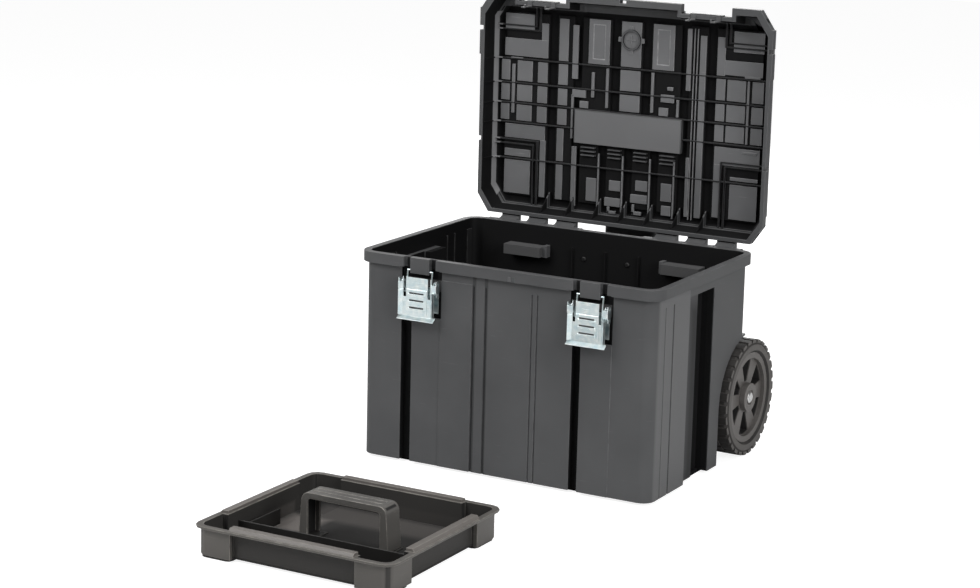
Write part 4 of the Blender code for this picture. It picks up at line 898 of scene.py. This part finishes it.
def pickOnly(piece):
    deselectAll()
    piece.select_set(True)
    bpy.context.view_layer.objects.active = piece


def applyModifier(piece, kind, label, **settings):
    step = piece.modifiers.new(label, kind)
    for key, value in settings.items():
        setattr(step, key, value)
    pickOnly(piece)
    bpy.ops.object.modifier_apply(modifier=label)


def markEdges(piece):
    # The bevel gives its new faces the second slot, which becomes the edge attribute of the finish
    mesh = piece.data
    mark = mesh.attributes.new("edge", "FLOAT", "FACE")
    for face in mesh.polygons:
        mark.data[face.index].value = 1.0 if face.material_index == 1 else 0.0
        face.material_index = 0
    while len(mesh.materials) > 1:
        mesh.materials.pop(index=1)


def roundEdges(piece, width):
    piece.data.materials.append(piece.data.materials[0])
    applyModifier(
        piece, "BEVEL", "softEdges",
        width=width, segments=softening["segments"],
        limit_method="ANGLE", angle_limit=math.radians(softening["edgeAbove"]),
        use_clamp_overlap=False, miter_outer="MITER_SHARP", material=1,
    )
    markEdges(piece)


def finishShade(piece):
    pickOnly(piece)
    bpy.ops.object.shade_smooth_by_angle(angle=math.radians(softening["smoothWithin"]))
    applyModifier(piece, "WEIGHTED_NORMAL", "evenShade", keep_sharp=True, weight=softening["shadeWeight"])


def copyOfNode(name, label):
    pickOnly(nodes[name])
    bpy.ops.object.duplicate()
    piece = bpy.context.active_object
    piece.name = label
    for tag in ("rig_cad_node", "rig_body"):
        if tag in piece:
            del piece[tag]
    bpy.ops.object.parent_clear(type="CLEAR_KEEP_TRANSFORM")
    bpy.ops.object.mode_set(mode="EDIT")
    bpy.ops.mesh.select_all(action="SELECT")
    bpy.ops.mesh.remove_doubles(threshold=softening["mergeWithin"])
    bpy.ops.mesh.dissolve_limited(angle_limit=math.radians(softening["flatWithin"]))
    bpy.ops.object.mode_set(mode="OBJECT")
    return piece


def camelName(name):
    first, *rest = name.split("_")
    return first + "".join(word.capitalize() for word in rest)


def selectWhere(piece, kind, wanted):
    # Leaves the piece in edit mode, with only the wanted vertices, edges or faces selected
    bpy.ops.object.mode_set(mode="OBJECT")
    kinds = {"vertex": piece.data.vertices, "edge": piece.data.edges, "face": piece.data.polygons}
    chosen = [wanted(part) for part in kinds[kind]]
    for parts in kinds.values():
        for part in parts:
            part.select = False
    for part, picked in zip(kinds[kind], chosen):
        part.select = picked
    bpy.context.tool_settings.mesh_select_mode = tuple(name == kind for name in kinds)
    bpy.ops.object.mode_set(mode="EDIT")


def moveCorners(piece, low, high, shift):
    # The corners inside a box are slid by one step
    selectWhere(piece, "vertex", lambda v: all(low[axis] <= v.co[axis] <= high[axis] for axis in range(3)))
    bpy.ops.transform.translate(value=shift)


tread = {"axis": (0.0, 0.190, 0.100), "floor": 0.0970, "near": 0.0010, "grow": 1.0150}


def fillTread(piece, s):
    # The grooves between the lugs are made shallower
    def onFloor(vertex):
        away = math.hypot(vertex.co.y - s["axis"][1], vertex.co.z - s["axis"][2])
        return abs(away - s["floor"]) < s["near"]

    selectWhere(piece, "vertex", onFloor)
    bpy.ops.transform.resize(value=(1.0, s["grow"], s["grow"]), center_override=s["axis"])
    bpy.ops.object.mode_set(mode="OBJECT")


for name, width in softEdges.items():
    piece = copyOfNode(name, camelName(name))
    if name.startswith("tyre"):
        fillTread(piece, tread)
    roundEdges(piece, width)
    finishShade(piece)
    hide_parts(name)
    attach(piece, bodyOf[name])
print("softened pieces ready:", len(softEdges))


# Raised panels and ribs on the lid's inside. Each row: left, right, bottom, top.
lidPanels = {
    "face": 0.2508,
    "ribFace": 0.2494,
    "base": 0.2533,
    "edge": 0.0005,
    "facing": 0.9,
    "cellColumns": [
        # a grid of small panels: left and right of each column, bottom and top of each row
        (-0.2540, -0.2370), (-0.2220, -0.1920), (-0.1810, -0.1620), (-0.1400, -0.1220),
        (0.1625, 0.1790), (0.1830, 0.2170), (0.2290, 0.2500),
    ],
    "cellRows": [(0.5930, 0.6290), (0.5570, 0.5860), (0.5220, 0.5500)],
    "panels": [
        (-0.2480, -0.1900, 0.6830, 0.7120), (-0.2480, -0.1620, 0.6370, 0.6680),
        (-0.1750, -0.1620, 0.6680, 0.6980), (-0.1400, -0.1220, 0.6350, 0.7090),
        (-0.0190, 0.0190, 0.6350, 0.7130), (0.1625, 0.1770, 0.6350, 0.7000),
        (0.1770, 0.2470, 0.6370, 0.6620), (0.1920, 0.2480, 0.6770, 0.7120),
        (-0.0190, 0.0190, 0.5930, 0.6290), (-0.0190, 0.0190, 0.5570, 0.5860),
        (-0.2440, -0.1640, 0.4900, 0.5150), (-0.1400, -0.1270, 0.4570, 0.5150),
        (0.1640, 0.2480, 0.4820, 0.5130), (-0.2440, -0.1920, 0.4570, 0.4700),
        (-0.2440, -0.1920, 0.3900, 0.4500), (-0.1730, -0.1620, 0.3880, 0.4900),
        (-0.1400, -0.1270, 0.3880, 0.4500), (0.1640, 0.1780, 0.3900, 0.4820),
        (0.1950, 0.2460, 0.4570, 0.4630), (0.1950, 0.2460, 0.3900, 0.4500),
        (-0.0790, -0.0590, 0.3920, 0.4330), (-0.0340, -0.0120, 0.4150, 0.4330),
        (0.0170, 0.0400, 0.4200, 0.4380), (0.0660, 0.0860, 0.4070, 0.4380),
        (0.0680, 0.0860, 0.3820, 0.3990), (-0.0420, -0.0120, 0.3870, 0.4020),
        (0.0080, 0.0400, 0.3980, 0.4130),
    ],
    "ribs": [
        (-0.1125, -0.1020, 0.6060, 0.7000), (-0.1090, -0.1000, 0.3800, 0.4860),
        (-0.1125, -0.1085, 0.5000, 0.5780), (0.1065, 0.1145, 0.6040, 0.7100),
        (0.1120, 0.1180, 0.3850, 0.4880), (0.1310, 0.1420, 0.3850, 0.7000),
        (0.1190, 0.1205, 0.3800, 0.7110), (0.1250, 0.1265, 0.3800, 0.7110),
        (-0.2320, -0.2265, 0.5350, 0.6220), (0.2205, 0.2245, 0.5220, 0.6290),
        (-0.1110, -0.0850, 0.5740, 0.5870), (-0.0960, -0.0800, 0.5560, 0.5680),
        (0.0600, 0.0850, 0.5800, 0.5930), (0.0570, 0.0740, 0.5560, 0.5700),
        (0.0900, 0.0940, 0.5560, 0.5860), (-0.0740, -0.0690, 0.5760, 0.6200),
        (-0.0460, -0.0415, 0.5600, 0.6290), (0.0410, 0.0455, 0.5600, 0.6290),
        (0.0720, 0.0820, 0.6010, 0.6070), (-0.0570, -0.0545, 0.3780, 0.4780),
        (-0.0100, -0.0075, 0.3780, 0.4780), (0.0425, 0.0450, 0.3780, 0.4780),
        (0.0885, 0.0910, 0.3780, 0.4780), (0.2150, 0.2430, 0.5050, 0.5090),
        (0.2150, 0.2430, 0.6340, 0.6380), (-0.2350, -0.2120, 0.6310, 0.6345),
        (-0.0360, -0.0190, 0.3740, 0.3790), (0.0120, 0.0300, 0.3770, 0.3830),
        (-0.0360, -0.0320, 0.3740, 0.3860), (0.0120, 0.0160, 0.3770, 0.3950),
        (-0.0245, -0.0165, 0.6780, 0.6860), (0.0165, 0.0245, 0.6780, 0.6860),
        (-0.0040, 0.0040, 0.6985, 0.7060), (-0.0040, 0.0040, 0.6580, 0.6655),
        (-0.0090, 0.0090, 0.6810, 0.6830), (-0.0010, 0.0010, 0.6730, 0.6910),
    ],
    "framed": [
        # a panel with a sunken middle: left, right, bottom, top, width of its frame
        (-0.0820, -0.0415, 0.6350, 0.7130, 0.0085),
        (0.0415, 0.0820, 0.6350, 0.7130, 0.0085),
    ],
    "sink": 0.0009,
}


def addBlock(low, high):
    # In edit mode the block becomes part of the mesh that is being edited
    size = [high[axis] - low[axis] for axis in range(3)]
    middle = [(high[axis] + low[axis]) / 2 for axis in range(3)]
    bpy.ops.mesh.primitive_cube_add(size=1.0, location=middle, scale=size)


def startPiece(name, material):
    mesh = bpy.data.meshes.new(name)
    piece = bpy.data.objects.new(name, mesh)
    bpy.context.scene.collection.objects.link(piece)
    mesh.materials.append(material)
    pickOnly(piece)
    bpy.ops.object.mode_set(mode="EDIT")
    return piece


def endPiece(piece, body, edge):
    bpy.ops.object.mode_set(mode="OBJECT")
    for face in piece.data.polygons:
        face.material_index = 0
    roundEdges(piece, edge)
    finishShade(piece)
    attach(piece, body)


def addBlocks(name, look, rows, body, edge):
    piece = startPiece(name, looks[look])
    for low, high in rows:
        addBlock(low, high)
    endPiece(piece, body, edge)


def buildLidPanels(s):
    piece = startPiece("lidInnerPanels", looks["lidPanel"])
    cells = [(*column, *row) for row in s["cellRows"] for column in s["cellColumns"]]
    for left, right, low, high in s["panels"] + cells:
        addBlock((left, s["face"], low), (right, s["base"], high))
    for left, right, low, high in s["ribs"]:
        addBlock((left, s["ribFace"], low), (right, s["base"], high))
    for left, right, low, high, border in s["framed"]:
        bpy.ops.mesh.select_all(action="DESELECT")
        addBlock((left, s["face"], low), (right, s["base"], high))
        selectWhere(piece, "face", lambda face: face.select and face.normal.y < -s["facing"])
        bpy.ops.mesh.inset(thickness=border, depth=0.0)
        bpy.ops.mesh.inset(thickness=s["sink"], depth=-s["sink"])
    endPiece(piece, "lid", s["edge"])


buildLidPanels(lidPanels)
print("lid panels ready")


# Pressed details on the latch levers, and dark strips of painted shade under their louvres
latchFace = {
    "middle": 0.156,
    "plate": -0.1978,
    "front": -0.2040,
    "foot": 0.0264,  # where a side flange starts, from the middle of the lever
    "crest": 0.0052,  # how far its slope runs outwards
    "outside": 0.0320,
    "low": 0.2585,
    "high": 0.3005,
    "near": 0.0002,
    "edge": 0.0004,
    # the louvre rows give dark strips of painted shade under each louvre
    "louvreHalf": 0.0135,
    "louvreLows": [0.2706, 0.2826, 0.2946],
    "louvreHeight": 0.0027,
    "louvreFaces": (-0.1994, -0.1986),
    "louvreEdge": 0.0002,
}


def buildLatchFace(side, sign, s):
    middle = sign * s["middle"]
    body = "lever_" + side.lower()
    piece = startPiece("latchFlanges" + side, looks["zinc_plate"])
    for hand in (-1, 1):
        left, right = sorted((middle + hand * s["foot"], middle + hand * s["outside"]))
        addBlock((left, s["front"], s["low"]), (right, s["plate"], s["high"]))
    near = s["near"]
    for hand in (-1, 1):
        foot = middle + hand * s["foot"]
        low = (foot - near, s["front"] - near, s["low"] - near)
        high = (foot + near, s["front"] + near, s["high"] + near)
        moveCorners(piece, low, high, (hand * s["crest"], 0.0, 0.0))
    endPiece(piece, body, s["edge"])
    # dark strips of painted shade under the louvres
    left, right = middle - s["louvreHalf"], middle + s["louvreHalf"]
    front, back = s["louvreFaces"]
    rows = [((left, front, low), (right, back, low + s["louvreHeight"])) for low in s["louvreLows"]]
    addBlocks("latchLouvres" + side, "opening", rows, body, s["louvreEdge"])


buildLatchFace("Left", -1, latchFace)
buildLatchFace("Right", 1, latchFace)
print("latch details ready")


# Ribs on the case's inner walls, darkened as painted shade, the tab on its front rim and a dark block of
# painted shade in the slot beside it
caseDetails = {
    "wall": 0.2642,
    "thick": 0.0026,
    "spans": [(0.0830, 0.0856), (0.1090, 0.1110), (0.1540, 0.1730), (-0.1500, -0.1320), (-0.0900, -0.0876)],
    "low": 0.2420,
    "high": 0.3340,
    "bracketSpan": (0.1085, 0.1160),
    "bracketLow": (0.1640, 0.2990),
    "bracketHigh": (0.1788, 0.3200),
    "tab": ((0.0085, -0.1920, 0.3357), (0.0146, -0.1902, 0.3437)),
    "edge": 0.0004,
    "slot": ((0.0172, -0.1913, 0.3350), (0.0216, -0.1902, 0.3440)),
    "slotEdge": 0.0002,
}


def buildCaseDetails(s):
    ribs = []
    tabs = []
    for sign in (-1, 1):
        left, right = sorted((sign * s["wall"], sign * (s["wall"] - s["thick"])))
        for near, far in s["spans"]:
            ribs.append(((left, near, s["low"]), (right, far, s["high"])))
        left, right = sorted(sign * end for end in s["bracketSpan"])
        tabs.append(((left, *s["bracketLow"]), (right, *s["bracketHigh"])))
    addBlocks("caseInnerRibs", "innerWall", ribs, "case", s["edge"])
    addBlocks("caseSmallTabs", "charcoal_plastic", [*tabs, s["tab"]], "case", s["edge"])
    # a dark block of painted shade in the rim slot
    addBlocks("rimSlot", "opening", [s["slot"]], "case", s["slotEdge"])


buildCaseDetails(caseDetails)
print("case details ready")


# The raised boss round each wheel's cap
hubBoss = {
    "centre": (0.190, 0.100),
    "radius": 0.0245,
    "inside": 0.2640,
    "outside": 0.2774,
    "mouth": 0.0132,
    "floor": 0.2743,
    "slope": 0.0008,
    "sides": 48,
    "facing": 0.9,
    "edge": 0.0008,
}


def buildHubBoss(side, sign, s):
    deselectAll()
    middle = sign * (s["inside"] + s["outside"]) / 2
    bpy.ops.mesh.primitive_cylinder_add(
        vertices=s["sides"], radius=s["radius"], depth=s["outside"] - s["inside"],
        location=(middle, *s["centre"]), rotation=(0.0, math.radians(90), 0.0),
    )
    piece = bpy.context.object
    piece.name = "wheelBoss" + side
    piece.data.materials.append(looks["hub_plastic"])
    bpy.ops.object.transform_apply(location=True, rotation=True, scale=True)
    selectWhere(piece, "face", lambda face: face.normal.x * sign > s["facing"])
    bpy.ops.mesh.inset(thickness=s["radius"] - s["mouth"], depth=0.0)
    bpy.ops.mesh.inset(thickness=s["slope"], depth=s["floor"] - s["outside"])
    endPiece(piece, "wheel_" + side.lower(), s["edge"])


buildHubBoss("Left", -1, hubBoss)
buildHubBoss("Right", 1, hubBoss)
print("wheel bosses ready")


# The tray's carrying handle: an inverted channel with two grooves along its top
trayHandle = {
    "low": (-0.1015, -0.6250, 0.0102),
    "high": (0.0555, -0.5870, 0.0800),
    "taper": 0.0050,
    "corner": 0.0120,
    "cornerSegments": 5,
    "leg": 0.0150,
    "bar": 0.0095,
    "mouthCorner": 0.0060,
    "channelCorner": 0.0080,
    "flange": 0.0045,
    "skin": 0.0032,
    "grooves": [(-0.6135, -0.6115), (-0.6005, -0.5985)],
    "grooveEnd": 0.0190,
    "grooveDepth": 0.0012,
    "beyond": 0.0100,  # how far a cutter sticks out
    "near": 0.0001,
    "edge": 0.0008,
}


def makeBlock(low, high, s, corner=0.0, taper=0.0):
    # A block of its own, its top narrowed and rounded across the handle
    near = s["near"]
    deselectAll()
    addBlock(low, high)
    block = bpy.context.object
    bpy.ops.object.transform_apply(location=True, rotation=True, scale=True)
    if taper:
        for hand, at in ((1, low[0]), (-1, high[0])):
            start = (at - near, low[1] - near, high[2] - near)
            end = (at + near, high[1] + near, high[2] + near)
            moveCorners(block, start, end, (hand * taper, 0.0, 0.0))

    def acrossTop(edge):
        first, second = [block.data.vertices[index].co for index in edge.vertices]
        return min(first.z, second.z) > high[2] - near and abs(first.x - second.x) < near

    if corner:
        selectWhere(block, "edge", acrossTop)
        bpy.ops.mesh.bevel(offset=corner, segments=s["cornerSegments"], affect="EDGES")
    bpy.ops.object.mode_set(mode="OBJECT")
    return block


def cutAway(piece, tool):
    applyModifier(piece, "BOOLEAN", "cut", operation="DIFFERENCE", object=tool, solver="EXACT")
    bpy.data.objects.remove(tool)


def buildTrayHandle(s):
    low, high, beyond = s["low"], s["high"], s["beyond"]
    piece = makeBlock(low, high, s, s["corner"], s["taper"])
    piece.name = "trayHandle"
    piece.data.materials.append(looks["trayGrip"])
    under = low[2] - beyond
    start = (low[0] + s["leg"], low[1] - beyond, under)
    end = (high[0] - s["leg"], high[1] + beyond, high[2] - s["bar"])
    cutAway(piece, makeBlock(start, end, s, s["mouthCorner"]))
    inset = s["taper"] + s["skin"]
    start = (low[0] + inset, low[1] + s["flange"], under)
    end = (high[0] - inset, high[1] - s["flange"], high[2] - s["skin"])
    cutAway(piece, makeBlock(start, end, s, s["channelCorner"]))
    for near, far in s["grooves"]:
        start = (low[0] + s["grooveEnd"], near, high[2] - s["grooveDepth"])
        end = (high[0] - s["grooveEnd"], far, high[2] + beyond)
        cutAway(piece, makeBlock(start, end, s))
    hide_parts("tray_handle")
    endPiece(piece, "tray", s["edge"])


buildTrayHandle(trayHandle)
print("tray handle ready")
